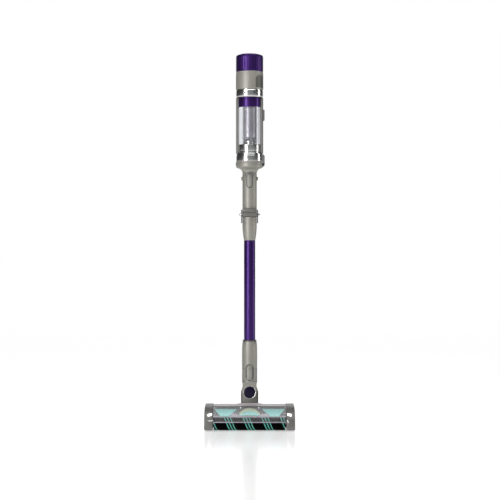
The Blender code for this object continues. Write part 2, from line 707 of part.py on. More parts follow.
def make_lower_wand():
    wand_end = SLEEVE_TOP - WAND_INSERT
    put(
        ring("wand_tube", WAND_RADIUS, WAND_RADIUS - WAND_WALL, wand_end, WAND_TOP - GAP),
        "lower_wand",
        "purple_gloss",
    )
    spigot = WAND_RADIUS - WAND_WALL - GAP
    bore = HOSE_RADIUS + 0.001
    profile = [
        (UPPER_RADIUS, COLLAR_TOP), (UPPER_RADIUS, WAND_TOP + COLLAR_TAPER), (WAND_RADIUS, WAND_TOP),
        (spigot, WAND_TOP), (spigot, WAND_TOP - 0.025), (spigot - WAND_WALL, WAND_TOP - 0.025),
        (spigot - WAND_WALL, WAND_TOP + 0.020), (bore, COLLAR_TOP - 0.030), (bore, COLLAR_TOP),
    ]
    collar = turned("lower_collar", profile)
    centre = (0, COLLAR_TOP - 0.016)
    cut(collar, plate("flex_seat", [oval(0.014, 0.022, centre)], bore + 0.0012, UPPER_RADIUS + 0.01, "Y"))
    put(collar, "lower_wand", "warm_grey")
    outline = oval(0.014 - 2 * RUN, 0.022 - 2 * RUN, centre)
    button = plate("flex_button", [outline], bore + 0.0012 + 0.0025, UPPER_RADIUS + 0.01, "Y")
    crown = cylinder("flex_crown", UPPER_RADIUS + 0.0012, COLLAR_TOP - 0.05, COLLAR_TOP, sides=32)
    keep_common(button, crown)
    put(button, "flex_button", "dark_grey")


def knuckle_outline(front, low, high):
    """The block over the hinge, as (y, z). Its brow leans forward, so that it clears the folded collar."""
    brow_z = FLEX_Z + (FLEX_Y - front) / FOLD_LEAN
    back = FLEX_Y + 0.0095
    brow = [(FLEX_Y, low), (front, brow_z), (front, high - 0.002), (front + 0.002, high)]
    return brow + [(back, high), (back, low)]


def make_flex_joint():
    """Two rings that meet at the hinge's height, with the hinge at the front and the hose through them."""
    axis = (FLEX_Y, FLEX_Z)
    bore = HOSE_RADIUS + 0.001
    cheek_in = UPPER_RADIUS + 0.0008
    cheek_out = cheek_in + CHEEK_THICKNESS
    split_low = FLEX_Z - 0.0004
    split_high = FLEX_Z + 0.0004
    front = FLEX_Y - KNUCKLE_RADIUS - 0.0005

    lower = ring("flex_lower_ring", UPPER_RADIUS, bore, COLLAR_TOP + GAP, split_low)
    top = RING_TOP - 0.004
    foot = COLLAR_TOP - 0.019
    cheek = [
        (front, COLLAR_TOP + GAP), (-0.006, COLLAR_TOP + GAP), (-0.005, foot), (0.005, foot),
        (0.006, COLLAR_TOP + 0.001), (0.015, COLLAR_TOP + 0.003), (0.015, top - 0.004), (0.011, top),
        (front + 0.004, top), (front, top - 0.004),
    ]
    for side in (-1, 1):
        low, high = sorted((side * cheek_in, side * cheek_out))
        cheek_plate = plate(f"cheek_{side}", [cheek], low, high)
        low, high = sorted((side * (UPPER_RADIUS - 0.003), side * (cheek_in + 0.001)))
        bridge = box(f"bridge_{side}", (low, -0.004, COLLAR_TOP + 0.0008), (high, 0.010, split_low - GAP))
        join(lower, cheek_plate, bridge)
    reach = UPPER_RADIUS + 0.0004
    swing = cylinder("knuckle_swing", KNUCKLE_RADIUS + RUN, -reach, reach, axis, "X", 32)
    reach = cheek_out + 0.01
    bore_low = cylinder("cheek_bore", FLEX_PIN_RADIUS + GAP, -reach, reach, axis, "X", 20)
    put(cut(lower, swing, bore_low), "lower_wand", "dark_grey")

    half = cheek_in - RUN
    upper = ring("flex_upper_ring", UPPER_RADIUS, bore, split_high, RING_TOP - GAP)
    outline = knuckle_outline(front + 0.0005, split_high, RING_TOP - GAP)
    block = plate("knuckle_block", [outline], -half, half)
    knuckle = cylinder("knuckle", KNUCKLE_RADIUS, -half, half, axis, "X", 20)
    join(upper, block, knuckle)
    hollow = cylinder("ring_bore", bore, FLEX_Z - 0.02, RING_TOP + 0.02, sides=32)
    bore_high = cylinder("knuckle_bore", FLEX_PIN_RADIUS + RUN, -cheek_out, cheek_out, axis, "X", 20)
    put(cut(upper, hollow, bore_high), "upper_wand", "warm_grey")

    head_in = cheek_out + GAP
    profile = [
        (0, head_in + 0.0052), (0.0026, head_in + 0.0048), (0.0044, head_in + 0.002), (0.0048, head_in),
        (FLEX_PIN_RADIUS, head_in), (FLEX_PIN_RADIUS, -head_in), (0.0048, -head_in),
        (0.0044, -head_in - 0.002), (0.0026, -head_in - 0.0048), (0, -head_in - 0.0052),
    ]
    put(turned("flex_pin", profile, (0, FLEX_Y, FLEX_Z), "X", 20), "lower_wand", "silver_trim")

    low = COLLAR_TOP - 0.022
    high = FLEX_Z + 0.0075
    folds = 5
    pitch = (high - low) / folds
    ridges = []
    for fold in range(folds):
        top_z = high - fold * pitch
        ridges += [(HOSE_RADIUS, top_z), (HOSE_RADIUS, top_z - pitch / 2)]
        ridges.append((HOSE_RADIUS - 0.001, top_z - pitch * 0.6))
    ridges.append((HOSE_RADIUS, low))
    profile = ridges + [(HOSE_RADIUS - 0.0022, low), (HOSE_RADIUS - 0.0022, high)]
    put(turned("flex_hose", profile, steps=16), "lower_wand", "black_rubber")


def make_upper_wand():
    neck_in = HOSE_RADIUS + 0.001
    profile = [
        (UPPER_RADIUS, BASE_Z - GAP), (UPPER_RADIUS, RING_TOP), (neck_in, RING_TOP),
        (neck_in, RING_TOP + 0.020), (UPPER_BORE, RING_TOP + 0.030), (UPPER_BORE, BASE_Z - GAP),
    ]
    tube = turned("upper_wand_tube", profile, steps=28)
    lug_z = RING_TOP + 0.091
    for side in (-1, 1):
        low, high = sorted((side * (UPPER_BORE + 0.001), side * (UPPER_RADIUS + 0.0042)))
        join(tube, bevel(cylinder(f"lug_{side}", 0.0052, low, high, (0.002, lug_z), "X", 16), 0.001))
    centre = (0, BASE_Z - 0.0245)
    seat = plate("wand_seat", [oval(0.0150, 0.0400, centre)], -UPPER_RADIUS - 0.01, -UPPER_BORE + 0.001, "Y")
    put(cut(tube, seat), "upper_wand", "warm_grey")
    outline = oval(0.0150 - 2 * RUN, 0.0400 - 2 * RUN, centre)
    button = plate("wand_button", [outline], -UPPER_RADIUS - 0.01, -UPPER_BORE - 0.0021, "Y")
    keep_common(button, cylinder("wand_crown", UPPER_RADIUS + 0.0018, BASE_Z - 0.08, BASE_Z, sides=32))
    put(button, "wand_button", "warm_grey")


# Inlet base


def make_inlet_base():
    spigot = UPPER_BORE - RUN
    top = LOWER_RING_Z - GAP
    shoulder = (BODY_RADIUS - 0.0008, FLANGE_Z - 0.0004)
    flare = bend(shoulder, (UPPER_RADIUS + 0.001, FLANGE_Z - 0.002), (UPPER_RADIUS, BASE_Z), 5)
    spigot_end = BASE_Z - SPIGOT_LENGTH
    throat_top = FLANGE_Z + 0.008
    profile = [
        (BODY_RADIUS, top), (BODY_RADIUS, FLANGE_Z), *flare, (spigot, BASE_Z), (spigot, spigot_end),
        (THROAT_RADIUS, spigot_end), (THROAT_RADIUS, throat_top), (0.024, throat_top),
        (0.024, top - 0.0035), (0.030, top - 0.0035), (0.030, top),
    ]
    base = turned("inlet_base", profile, steps=28)
    half = DOOR_KNUCKLE_WIDTH / 2
    at = (DOOR_X, DOOR_Z)
    join(base, cylinder("door_knuckle", DOOR_KNUCKLE_RADIUS, -half, half, at, "Y", 16))
    for side in (-1, 1):
        low, high = sorted((side * half, side * (half + 0.0065)))
        cut(base, cylinder(f"ear_swing_{side}", DOOR_KNUCKLE_RADIUS + 0.0008, low, high, at, "Y", 16))
        near = DOOR_X - DOOR_KNUCKLE_RADIUS - 0.0008
        cut(base, box(f"ear_slot_{side}", (near, low, DOOR_Z), (0.1, high, top + 0.01)))
    cut(base, cylinder("door_pin_bore", DOOR_PIN_RADIUS + GAP, -0.02, 0.02, at, "Y", 12))
    latch_z = FLANGE_Z + 0.0085
    reach = -BODY_RADIUS + 0.0055
    cut(base, box("latch_seat", (-0.06, -0.0075, latch_z - 0.0045), (reach, 0.0075, latch_z + 0.0045)))
    put(base, "inlet_base", "warm_grey")
    put(ring("inlet_seal", 0.030 - GAP, 0.025, top - 0.0035 + GAP, top), "inlet_base", "black_rubber")
    end = half + 0.0065
    put(cylinder("door_pin", DOOR_PIN_RADIUS, -end, end, at, "Y", 12), "inlet_base", "black_rubber")
    low = (-BODY_RADIUS - 0.0003, -0.007, latch_z - 0.004)
    put(box("door_latch", low, (reach - 0.0022, 0.007, latch_z + 0.004), 0.0008), "door_latch", "dark_grey")


# Hand vacuum


def make_lower_ring():
    """The bright ring under the cup, with the two ears that turn on the door pin."""
    top = CUP_Z - GAP
    lower = ring("lower_ring", BODY_RADIUS - 0.0005, 0.026, LOWER_RING_Z, top, steps=28)
    radius = DOOR_KNUCKLE_RADIUS
    sides = [(DOOR_X + radius, top), (DOOR_X - radius, top)]
    outline = arc((DOOR_X, DOOR_Z), radius, pi, 2 * pi, 10) + sides
    for side in (-1, 1):
        low, high = sorted((side * (DOOR_KNUCKLE_WIDTH / 2 + RUN), side * (DOOR_KNUCKLE_WIDTH / 2 + 0.0058)))
        join(lower, plate(f"ear_{side}_door", [outline], low, high, "Y"))
    cut(lower, cylinder("ear_bore", DOOR_PIN_RADIUS + RUN, -0.03, 0.03, (DOOR_X, DOOR_Z), "Y", 12))
    put(lower, "hand_vacuum", "silver_trim")


def make_vac_frame():
    """The open-fronted frame behind the cup, which the cup slides out of forwards."""
    low = CUP_Z
    high = BAND_Z - GAP
    bore = CUP_RADIUS + 0.0006
    shell = cylinder("vac_frame", BODY_RADIUS, low, high, sides=32)
    round_well = cylinder("round_well", bore, low - 0.01, high + 0.01, sides=32)
    way_out = box("way_out", (-bore, -0.1, low - 0.01), (bore, 0.0, high + 0.01))
    front = box("front_cut", (-0.1, -0.1, low - 0.02), (0.1, FRAME_LIP_Y, high + 0.02))
    cut(shell, round_well, way_out, front)
    half_width = CUP_BUTTON_WIDTH / 2
    half_height = CUP_BUTTON_HEIGHT / 2
    middle = BAND_Z - 0.0535
    floor = BODY_RADIUS - 0.0037
    seat = box(
        "cup_button_seat",
        (floor, -half_width, middle - half_height),
        (0.1, half_width, middle + half_height),
    )
    put(cut(shell, seat), "hand_vacuum", "dark_grey")
    half_width -= RUN
    half_height -= RUN
    button = box(
        "cup_button",
        (floor + 0.002, -half_width, middle - half_height),
        (BODY_RADIUS + 0.0045, half_width, middle + half_height),
        0.0025,
    )
    put(button, "cup_button", "dark_grey")


def make_dust_cup():
    low = CUP_Z
    top = CUP_CLEAR_Z - GAP
    pipe_top = CUP_CLEAR_Z + 0.012
    profile = [
        (CUP_RADIUS, top), (CUP_RADIUS, low), (0.0120, low), (0.0120, pipe_top), (0.0135, pipe_top),
        (0.0135, low + 0.003), (CUP_RADIUS - CUP_WALL, low + 0.003), (CUP_RADIUS - CUP_WALL, top),
    ]
    put(turned("cup_bottom_ring", profile, steps=28), "dust_cup", "silver_trim")
    glass = ring("dust_cup", CUP_RADIUS, CUP_RADIUS - CUP_WALL, CUP_CLEAR_Z, CUP_TOP_Z - GAP, steps=32)
    put(glass, "dust_cup", "clear_smoke")
    skirt = pipe_top + 0.005
    radius = SHROUD_RADIUS
    high = CUP_TOP_Z - GAP
    profile = [
        (radius, high), (radius, skirt + 0.006), (radius - 0.003, skirt), (radius - 0.0055, skirt),
        (radius - 0.0055, skirt + 0.006), (radius - 0.002, skirt + 0.010), (radius - 0.002, high),
    ]
    put(turned("cyclone_shroud", profile, steps=32), "dust_cup", "shroud_grey")
    top = BAND_Z - RUN
    rim = CUP_RADIUS - 0.003
    profile = [
        (CUP_RADIUS, top), (CUP_RADIUS, CUP_TOP_Z), (radius - 0.003, CUP_TOP_Z),
        (radius - 0.003, CUP_TOP_Z + 0.003), (rim, CUP_TOP_Z + 0.003), (rim, top),
    ]
    put(turned("cup_top_ring", profile, steps=32), "dust_cup", "purple_gloss")
    foam_low = CUP_TOP_Z + 0.003 + GAP
    foam = cylinder("foam_filter", rim - 0.0006, foam_low, foam_low + FOAM_THICKNESS, sides=28)
    put(foam, "dust_cup", "foam")


def make_motor_section():
    top = HOUSING_Z - GAP
    wall = BODY_RADIUS - HOUSING_WALL
    profile = [
        (BODY_RADIUS, top), (BODY_RADIUS, BAND_Z), (0.029, BAND_Z), (0.029, BAND_Z + 0.002),
        (wall, BAND_Z + 0.002), (wall, top),
    ]
    put(turned("chrome_band", profile, steps=32), "hand_vacuum", "silver_trim")
    motor_low = BAND_Z + 0.019
    motor_high = motor_low + MAIN_MOTOR_HEIGHT
    web = motor_high + GAP
    top = CAP_Z - GAP
    profile = [
        (BODY_RADIUS, top), (BODY_RADIUS, HOUSING_Z), (wall, HOUSING_Z), (wall, web), (0.016, web),
        (0.016, web + 0.003), (wall, web + 0.003), (wall, top),
    ]
    put(turned("motor_housing", profile, steps=32), "hand_vacuum", "warm_grey")
    radius = MAIN_MOTOR_RADIUS
    profile = [
        (0, motor_high), (radius - 0.003, motor_high), (radius, motor_high - 0.003),
        (radius, motor_low + 0.002), (radius - 0.006, motor_low), (0, motor_low),
    ]
    put(turned("main_motor", profile, steps=28), "hand_vacuum", "steel")
    low = BAND_Z + 0.0045
    high = motor_low - 0.0015
    radius = IMPELLER_RADIUS
    profile = [
        (0, high), (radius, high), (radius, high - 0.003), (radius * 0.62, low + 0.003),
        (radius * 0.45, low), (0, low),
    ]
    put(turned("impeller", profile, steps=28), "impeller", "dark_grey")
    board_z = web + 0.003 + 0.004
    board = box("circuit_board", (-0.020, -0.015, board_z), (0.020, 0.015, board_z + 0.0016))
    put(board, "hand_vacuum", "board_green")


def make_filter_cap():
    shoulder = CAP_Z + CAP_HEIGHT
    wall = BODY_RADIUS - HOUSING_WALL
    ceiling = shoulder - 0.006
    top = shoulder + CAP_DOME
    dome = bend((0.0, top), (BODY_RADIUS - 0.0075, top), (BODY_RADIUS - 0.0025, shoulder), 4)
    profile = [
        *dome, (BODY_RADIUS - 0.0006, shoulder - 0.0018), (BODY_RADIUS, shoulder - 0.005),
        (BODY_RADIUS, CAP_Z), (wall, CAP_Z), (wall, ceiling), (0, ceiling),
    ]
    put(turned("filter_cap", profile, steps=32), "filter_cap", "purple_gloss")
    hepa = ring("hepa_filter", wall - 0.002, 0.018, CAP_Z + 0.004, ceiling - 0.001, steps=32)
    put(hepa, "filter_cap", "filter_paper")


# Handle and battery


def handle_outline():
    """The closed loop of the handle seen from the side, as (y, z), and its finger gap."""
    front = BODY_RADIUS + 0.0005
    deck = CAP_Z - 0.0007
    foot = deck - 0.149
    rear = HANDLE_REAR
    rim = (
        [(front, foot + 0.002), (front, deck - 0.003), (front + 0.003, deck)]
        + bend((rear - 0.026, deck), (rear, deck - 0.001), (rear, deck - 0.030), 6)
        + bend((rear, deck - 0.075), (rear, foot + 0.014), (rear - 0.004, foot), 4)
        + [(front + 0.002, foot)]
    )
    gap = rounded((front + 0.0125, foot + 0.020), (rear - 0.0315, deck - 0.034), 0.012, 4)
    return rim, gap, foot, deck


def make_handle():
    rim, gap, foot, deck = handle_outline()
    half = HANDLE_HALF_WIDTH
    seats = {"power_button": (HANDLE_REAR - 0.033, 0.0065), "mode_button": (HANDLE_REAR - 0.048, 0.0048)}
    for side, name in ((-1, "left"), (1, "right")):
        shell = plate(f"handle_{name}_shell", [rim, gap], -half, half, edge=0.0045)
        low, high = sorted((side * GAP / 2, -side * 0.1))
        other_half = box(f"{name}_parting", (low, -0.2, foot - 0.1), (high, 0.3, deck + 0.1))
        cut(shell, other_half)
        for button, (y, radius) in seats.items():
            seat = f"{button}_{name}_seat"
            cut(shell, cylinder(seat, radius + RUN, deck - 0.008, deck + 0.02, (0, y), sides=20))
        put(shell, "hand_vacuum", "warm_grey")
    for button, (y, radius) in seats.items():
        low = deck - 0.008 + 0.002
        profile = [
            (0, deck + 0.0012), (radius - 0.001, deck + 0.0010), (radius, deck), (radius, low), (0, low),
        ]
        put(turned(button, profile, (0, y, 0), steps=24), button, "dark_grey")
    low = (-0.011, BODY_RADIUS + 0.004, deck + GAP)
    high = (0.011, HANDLE_REAR - 0.056, deck + GAP + 0.002)
    put(box("display_panel", low, high, 0.0006), "hand_vacuum", "dark_purple")


def make_battery():
    foot = handle_outline()[2]
    top = foot - RUN
    low = top - BATTERY_HEIGHT
    front = HANDLE_REAR - 0.061
    rear = HANDLE_REAR - 0.001
    half = BATTERY_HALF_WIDTH
    wall = BATTERY_WALL
    case = box("battery_case", (-half, front, low), (half, rear, top), 0.003)
    inside = half - wall
    well = box("battery_well", (-inside, front + wall, low + wall), (inside, rear - wall, top + 0.01))
    button_z = top - 0.014
    window = box(
        "button_window", (-0.008, rear - 0.005, button_z - 0.006), (0.008, rear + 0.01, button_z + 0.006)
    )
    put(cut(case, well, window), "battery", "dark_grey")
    button = box(
        "battery_button",
        (-0.008 + RUN, rear - 0.0025, button_z - 0.006 + RUN),
        (0.008 - RUN, rear + 0.001, button_z + 0.006 - RUN),
        0.0006,
    )
    put(button, "battery_button", "purple_gloss")
    cell_radius = 0.0086
    middle = (front + rear) / 2
    cell_low = low + wall + GAP
    cell_high = cell_low + 0.060
    pack = box(
        "battery_cells",
        (-2 * cell_radius, middle - 0.0266, cell_low + 0.028),
        (2 * cell_radius, middle + 0.0266, cell_low + 0.032),
    )
    for row in (-1, 1):
        for place in (-1, 0, 1):
            at = (row * (cell_radius + GAP / 2), middle + place * 0.0178)
            join(pack, cylinder(f"cell_{row}_{place}", cell_radius, cell_low, cell_high, at, sides=12))
    put(pack, "battery", "cell_blue")


def main():
    make_frames()
    make_head_base()
    make_head_cover()
    make_window()
    make_sole_plate()
    make_side_cap(-1, "left_side_cap")
    make_side_cap(1, "right_side_cap")
    make_roll()
    make_drive()
    make_wheels()
    make_yoke()
    make_neck()
    make_lower_wand()
    make_flex_joint()
    make_upper_wand()
    make_inlet_base()
    make_lower_ring()
    make_vac_frame()
    make_dust_cup()
    make_motor_section()
    make_filter_cap()
    make_handle()
    make_battery()


main()
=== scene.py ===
"""Looks of a cordless stick vacuum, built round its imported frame. Metres, +Z up, the front faces -Y,
the wand stands on the Z axis and the floor is Z = 0. Every outline below is (radius, z), (y, z) or
(x, z), as its helper says."""

import json
from math import atan2, cos, pi, radians, sin

import bmesh
import bpy
from mathutils import Matrix, Vector


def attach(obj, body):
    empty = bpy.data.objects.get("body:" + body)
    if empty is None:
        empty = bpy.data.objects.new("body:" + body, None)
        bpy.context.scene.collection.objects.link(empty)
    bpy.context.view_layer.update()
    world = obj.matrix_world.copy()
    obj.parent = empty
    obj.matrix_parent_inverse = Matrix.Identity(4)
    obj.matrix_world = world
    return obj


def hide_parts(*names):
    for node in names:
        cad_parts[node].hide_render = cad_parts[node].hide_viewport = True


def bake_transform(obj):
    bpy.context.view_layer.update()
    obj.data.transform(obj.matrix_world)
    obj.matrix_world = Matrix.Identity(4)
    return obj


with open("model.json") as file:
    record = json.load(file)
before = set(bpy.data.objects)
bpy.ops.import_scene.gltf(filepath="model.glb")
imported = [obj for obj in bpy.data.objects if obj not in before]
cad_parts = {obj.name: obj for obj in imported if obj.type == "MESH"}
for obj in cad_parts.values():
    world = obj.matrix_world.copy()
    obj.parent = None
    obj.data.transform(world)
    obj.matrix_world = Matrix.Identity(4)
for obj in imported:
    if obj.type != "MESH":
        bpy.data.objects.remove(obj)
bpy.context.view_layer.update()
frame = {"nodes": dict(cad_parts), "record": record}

# Stations up the wand's axis
SWIVEL_Z = 0.1065
SEAM_Z = 0.1765
SLEEVE_TOP = 0.264
WAND_TOP = 0.567
COLLAR_TOP = 0.638
FLEX_Z = 0.6448
FLEX_Y = -0.0225
RING_TOP = 0.664
BASE_Z = 0.7725
FLANGE_Z = 0.7907
LOWER_RING_Z = 0.8073
CUP_Z = 0.8313
CUP_CLEAR_Z = 0.8583
CUP_TOP_Z = 0.9717
BAND_Z = 1.0017
HOUSING_Z = 1.0253
CAP_Z = 1.0797
SHOULDER_Z = 1.1287
DOME_Z = 1.1345

# Radii
BODY_RADIUS = 0.0415
CUP_RADIUS = 0.0347
SHROUD_RADIUS = 0.02
UPPER_RADIUS = 0.0218
WAND_RADIUS = 0.01715
NECK_RADIUS = 0.023
HOSE_RADIUS = 0.015
SWIVEL_CAP_RADIUS = 0.0184

# Floor head
HEAD_HALF = 0.135
CAP_INNER_X = 0.1095
HEAD_FRONT = -0.125
HEAD_REAR = 0.055
DECK_Z = 0.067
ROLL_Y = -0.093
ROLL_Z = 0.024
ROLL_RADIUS = 0.024
ROLL_HALF = 0.1065
WINDOW_TOP_Y = -0.0525
WINDOW_LIP_Z = 0.026
PITCH_Y = 0.032
PITCH_Z = 0.038

# Handle
HANDLE_REAR = 0.125
HANDLE_HALF_WIDTH = 0.0165
HANDLE_DECK_Z = CAP_Z - 0.0007

GAP = 0.0003
SHELL_WALL = 0.0025
FINE = 96  # steps round a turned piece
SIDES = ((-1, "left"), (1, "right"))


# Materials


def sockets(shader, **values):
    """Sets the shader's own sockets, named with underscores for spaces."""
    for name, value in values.items():
        shader.inputs[name.replace("_", " ")].default_value = value


def link(tree, source, target):
    tree.links.new(source, target)


def noise(tree, place, scale, detail=4.0, stretch=(1, 1, 1)):
    """A noise texture in object space, its pattern stretched along each axis."""
    mapping = tree.nodes.new("ShaderNodeMapping")
    mapping.inputs["Scale"].default_value = stretch
    link(tree, place.outputs["Object"], mapping.inputs["Vector"])
    made = tree.nodes.new("ShaderNodeTexNoise")
    made.inputs["Scale"].default_value = scale
    made.inputs["Detail"].default_value = detail
    link(tree, mapping.outputs["Vector"], made.inputs["Vector"])
    return made.outputs["Fac"]


def ramp(tree, source, stops):
    """A colour ramp over source, stops being (place, colour)."""
    node = tree.nodes.new("ShaderNodeValToRGB")
    elements = node.color_ramp.elements
    while len(elements) < len(stops):
        elements.new(0.5)
    for element, (place, colour) in zip(elements, stops):
        element.position = place
        element.color = (*colour[:3], 1)
    link(tree, source, node.inputs["Fac"])
    return node.outputs["Color"]


def spread(tree, source, low, high, end="To"):
    """source, from 0 to 1, laid out from low to high, or from low to high laid out from 0 to 1."""
    node = tree.nodes.new("ShaderNodeMapRange")
    node.inputs[f"{end} Min"].default_value = low
    node.inputs[f"{end} Max"].default_value = high
    link(tree, source, node.inputs["Value"])
    return node.outputs["Result"]


def bumped(tree, shader, height, strength, distance):
    node = tree.nodes.new("ShaderNodeBump")
    node.inputs["Strength"].default_value = strength
    node.inputs["Distance"].default_value = distance
    link(tree, height, node.inputs["Height"])
    link(tree, node.outputs["Normal"], shader.inputs["Normal"])


def blank(name):
    """An empty node material with its shader and its object-space coordinates."""
    made = bpy.data.materials.new(name)
    made.use_nodes = True
    tree = made.node_tree
    shader = tree.nodes["Principled BSDF"]
    place = tree.nodes.new("ShaderNodeTexCoord")
    return made, tree, shader, place


def shade(colour, factor):
    return tuple(min(1.0, c * factor) for c in colour[:3])


def plastic(name, colour, rough, grain=900, bump=0.05, fleck=0.0, metal=0.0, coat=0.0, vary=0.08):
    """Moulded plastic: a fine grain, a slow change of tone, and flecks where fleck is above 0."""
    made, tree, shader, place = blank(name)
    sockets(shader, Metallic=metal, Coat_Weight=coat, Coat_Roughness=0.08)
    slow = noise(tree, place, 14, 2)
    fine = noise(tree, place, grain, 2)
    tone = ramp(tree, slow, [(0.3, shade(colour, 1 - vary)), (0.7, shade(colour, 1 + vary))])
    if fleck:
        spark = noise(tree, place, 2600, 0)
        mix = tree.nodes.new("ShaderNodeMix")
        mix.data_type = "RGBA"
        link(tree, spread(tree, spark, 0.0, fleck), mix.inputs["Factor"])
        link(tree, tone, mix.inputs["A"])
        mix.inputs["B"].default_value = (*shade(colour, 1.9), 1)
        tone = mix.outputs["Result"]
    link(tree, tone, shader.inputs["Base Color"])
    link(tree, spread(tree, fine, rough * 0.8, rough * 1.2), shader.inputs["Roughness"])
    bumped(tree, shader, fine, bump, 0.0004)
    return made


def brushed(name, colour, rough, stretch=(1, 1, 0.02), metal=1.0, depth=0.12):
    """Metal, or metallised plastic, with fine lines along the axis that stretch flattens."""
    made, tree, shader, place = blank(name)
    sockets(shader, Metallic=metal)
    lines = noise(tree, place, 700, 3, stretch)
    slow = noise(tree, place, 20, 2)
    tone = ramp(tree, slow, [(0.3, shade(colour, 0.93)), (0.7, shade(colour, 1.05))])
    link(tree, tone, shader.inputs["Base Color"])
    link(tree, spread(tree, lines, rough * 0.7, rough * 1.3), shader.inputs["Roughness"])
    bumped(tree, shader, lines, depth, 0.0002)
    return made


def rubber(name, colour, rough=0.7):
    made, tree, shader, place = blank(name)
    fine = noise(tree, place, 1400, 3)
    tone = ramp(tree, noise(tree, place, 40, 3), [(0.3, shade(colour, 0.8)), (0.7, shade(colour, 1.4))])
    link(tree, tone, shader.inputs["Base Color"])
    link(tree, spread(tree, fine, rough * 0.9, min(1.0, rough * 1.15)), shader.inputs["Roughness"])
    bumped(tree, shader, fine, 0.2, 0.0004)
    return made


def cloth(name, colour, scale, bump, sheen=0.25):
    """Pile, foam or paper: rough, with a coarse grain."""
    made, tree, shader, place = blank(name)
    sockets(shader, Sheen_Weight=sheen, Specular_IOR_Level=sheen, Roughness=0.95)
    grain = noise(tree, place, scale, 5)
    tone = ramp(tree, grain, [(0.3, shade(colour, 0.55)), (0.7, shade(colour, 1.5))])
    link(tree, tone, shader.inputs["Base Color"])
    bumped(tree, shader, grain, bump, 0.001)
    return made


def thin_clear(name, colour, middle, edge, coat=0.3):
    """A thin clear wall: nearly unseen face on, with a painted pale sheen where it is seen edgeways."""
    made, tree, shader, place = blank(name)
    sockets(shader, IOR=1.5, Coat_Weight=coat)
    scuff = noise(tree, place, 240, 3, (1, 1, 0.08))
    tone = ramp(tree, scuff, [(0.3, shade(colour, 0.96)), (0.7, shade(colour, 1.04))])
    link(tree, tone, shader.inputs["Base Color"])
    link(tree, spread(tree, scuff, 0.05, 0.14), shader.inputs["Roughness"])
    # Painted sheen: the pale colour turns nearly opaque at grazing angles, standing in for the bright
    # reflections along the edges of the clear wall.
    facing = tree.nodes.new("ShaderNodeLayerWeight")
    facing.inputs["Blend"].default_value = 0.5
    grey = [(v, v, v) for v in (middle, middle * 1.6, edge, edge)]
    painted_edge_sheen = ramp(tree, facing.outputs["Facing"], list(zip((0.0, 0.16, 0.3, 1.0), grey)))
    link(tree, painted_edge_sheen, shader.inputs["Alpha"])
    return made


def lit(name, colour, strength):
    """A lens with light behind it, a little brighter in its middle grain."""
    made, tree, shader, place = blank(name)
    sockets(shader, Emission_Strength=strength, Roughness=0.15)
    cells = noise(tree, place, 260, 2)
    tone = ramp(tree, cells, [(0.3, shade(colour, 0.9)), (0.7, colour)])
    link(tree, tone, shader.inputs["Base Color"])
    link(tree, tone, shader.inputs["Emission Color"])
    return made


PURPLE = (0.042, 0.013, 0.118)
GREY = (0.275, 0.268, 0.238)
DARK = (0.06, 0.06, 0.058)


def make_paints():
    """One finish for each material slot of the record, and a few that only the looks need."""
    return {
        "purple_gloss": plastic("purple_metallic", PURPLE, 0.4, fleck=0.2, metal=0.85, coat=0.15),
        "dark_purple": plastic("dark_purple_gloss", (0.005, 0.002, 0.022), 0.34, fleck=0.04, coat=0.12),
        "warm_grey": plastic("warm_grey_shell", GREY, 0.5, fleck=0.3, metal=0.45),
        "dark_grey": plastic("dark_grey_moulded", DARK, 0.42, fleck=0.08, bump=0.15),
        "silver_trim": brushed("silver_band", (0.72, 0.72, 0.71), 0.2, (1, 1, 14), depth=0.004),
        "clear_smoke": thin_clear("clear_cup", (0.8, 0.81, 0.85), 0.07, 0.8),
        "teal_panel": plastic("teal_print", (0.26, 0.64, 0.6), 0.4, coat=0.1),
        "lamp_white": lit("lamp_lens", (1.0, 1.0, 0.98), 1.4),
        "black_rubber": rubber("black_rubber_mat", (0.018, 0.018, 0.018)),
        "brush_black": cloth("black_pile", (0.0015, 0.0015, 0.0015), 1800, 0.3, 0.01),
        "steel": brushed("steel_turned", (0.55, 0.55, 0.54), 0.28, (1, 1, 14)),
        "motor_metal": brushed("motor_can", (0.5, 0.5, 0.52), 0.35, (1, 1, 10)),
        "shroud_grey": brushed("shroud_metallic", (0.42, 0.4, 0.46), 0.38, (1, 1, 0.05), metal=0.7),
        "foam": cloth("open_foam", (0.16, 0.17, 0.19), 900, 0.8),
        "filter_paper": cloth("filter_paper_pleat", (0.72, 0.71, 0.66), 1200, 0.3),
        "board_green": plastic("board_lacquer", (0.02, 0.11, 0.04), 0.35, bump=0.3),
        "cell_blue": brushed("cell_sleeve", (0.05, 0.14, 0.34), 0.4, (1, 1, 6), metal=0.2),
        "side_grey": plastic(
            "side_cap_grey", (0.15, 0.146, 0.138), 0.4, fleck=0.22, metal=0.25, bump=0.2,
        ),
        "vent_grey": plastic("vent_skin", (0.15, 0.148, 0.13), 0.42, fleck=0.2, metal=0.3),
        "deck_grey": plastic("deck_pearl_grey", (0.56, 0.51, 0.53), 0.42, fleck=0.2, metal=0.3),
        # This dark paint serves the dark printed bands and also a painted shade bead round the wand's
        # hood.
        "print_dark": plastic("charcoal_print_and_shade", (0.085, 0.088, 0.092), 0.5),
        "joint_grey": plastic("joint_moulded", (0.15, 0.147, 0.135), 0.45, fleck=0.2, metal=0.3),
        "lilac_grey": plastic("lilac_backing", (0.3, 0.28, 0.32), 0.35, fleck=0.1, metal=0.2),
        "pearl": plastic("pearl_liner", (0.78, 0.78, 0.8), 0.22, coat=0.3),
        "ink": plastic("dark_recess", (0.01, 0.01, 0.01), 0.6),
        "teal_pile": cloth("teal_bristle", (0.12, 0.44, 0.36), 1800, 0.1, 0.05),
        "window": thin_clear("clear_window", (0.85, 0.87, 0.88), 0.04, 0.13, 0.0),
        "lamp_glow": lit("lime_print", (0.5, 0.58, 0.4), 0.06),
        "display_lit": lit("display_marks", (0.55, 0.75, 0.95), 0.5),
    }


PAINT = make_paints()
DARK_SHADER = PAINT["dark_purple"].node_tree.nodes["Principled BSDF"]
sockets(DARK_SHADER, Specular_IOR_Level=0.15)


# Mesh helpers


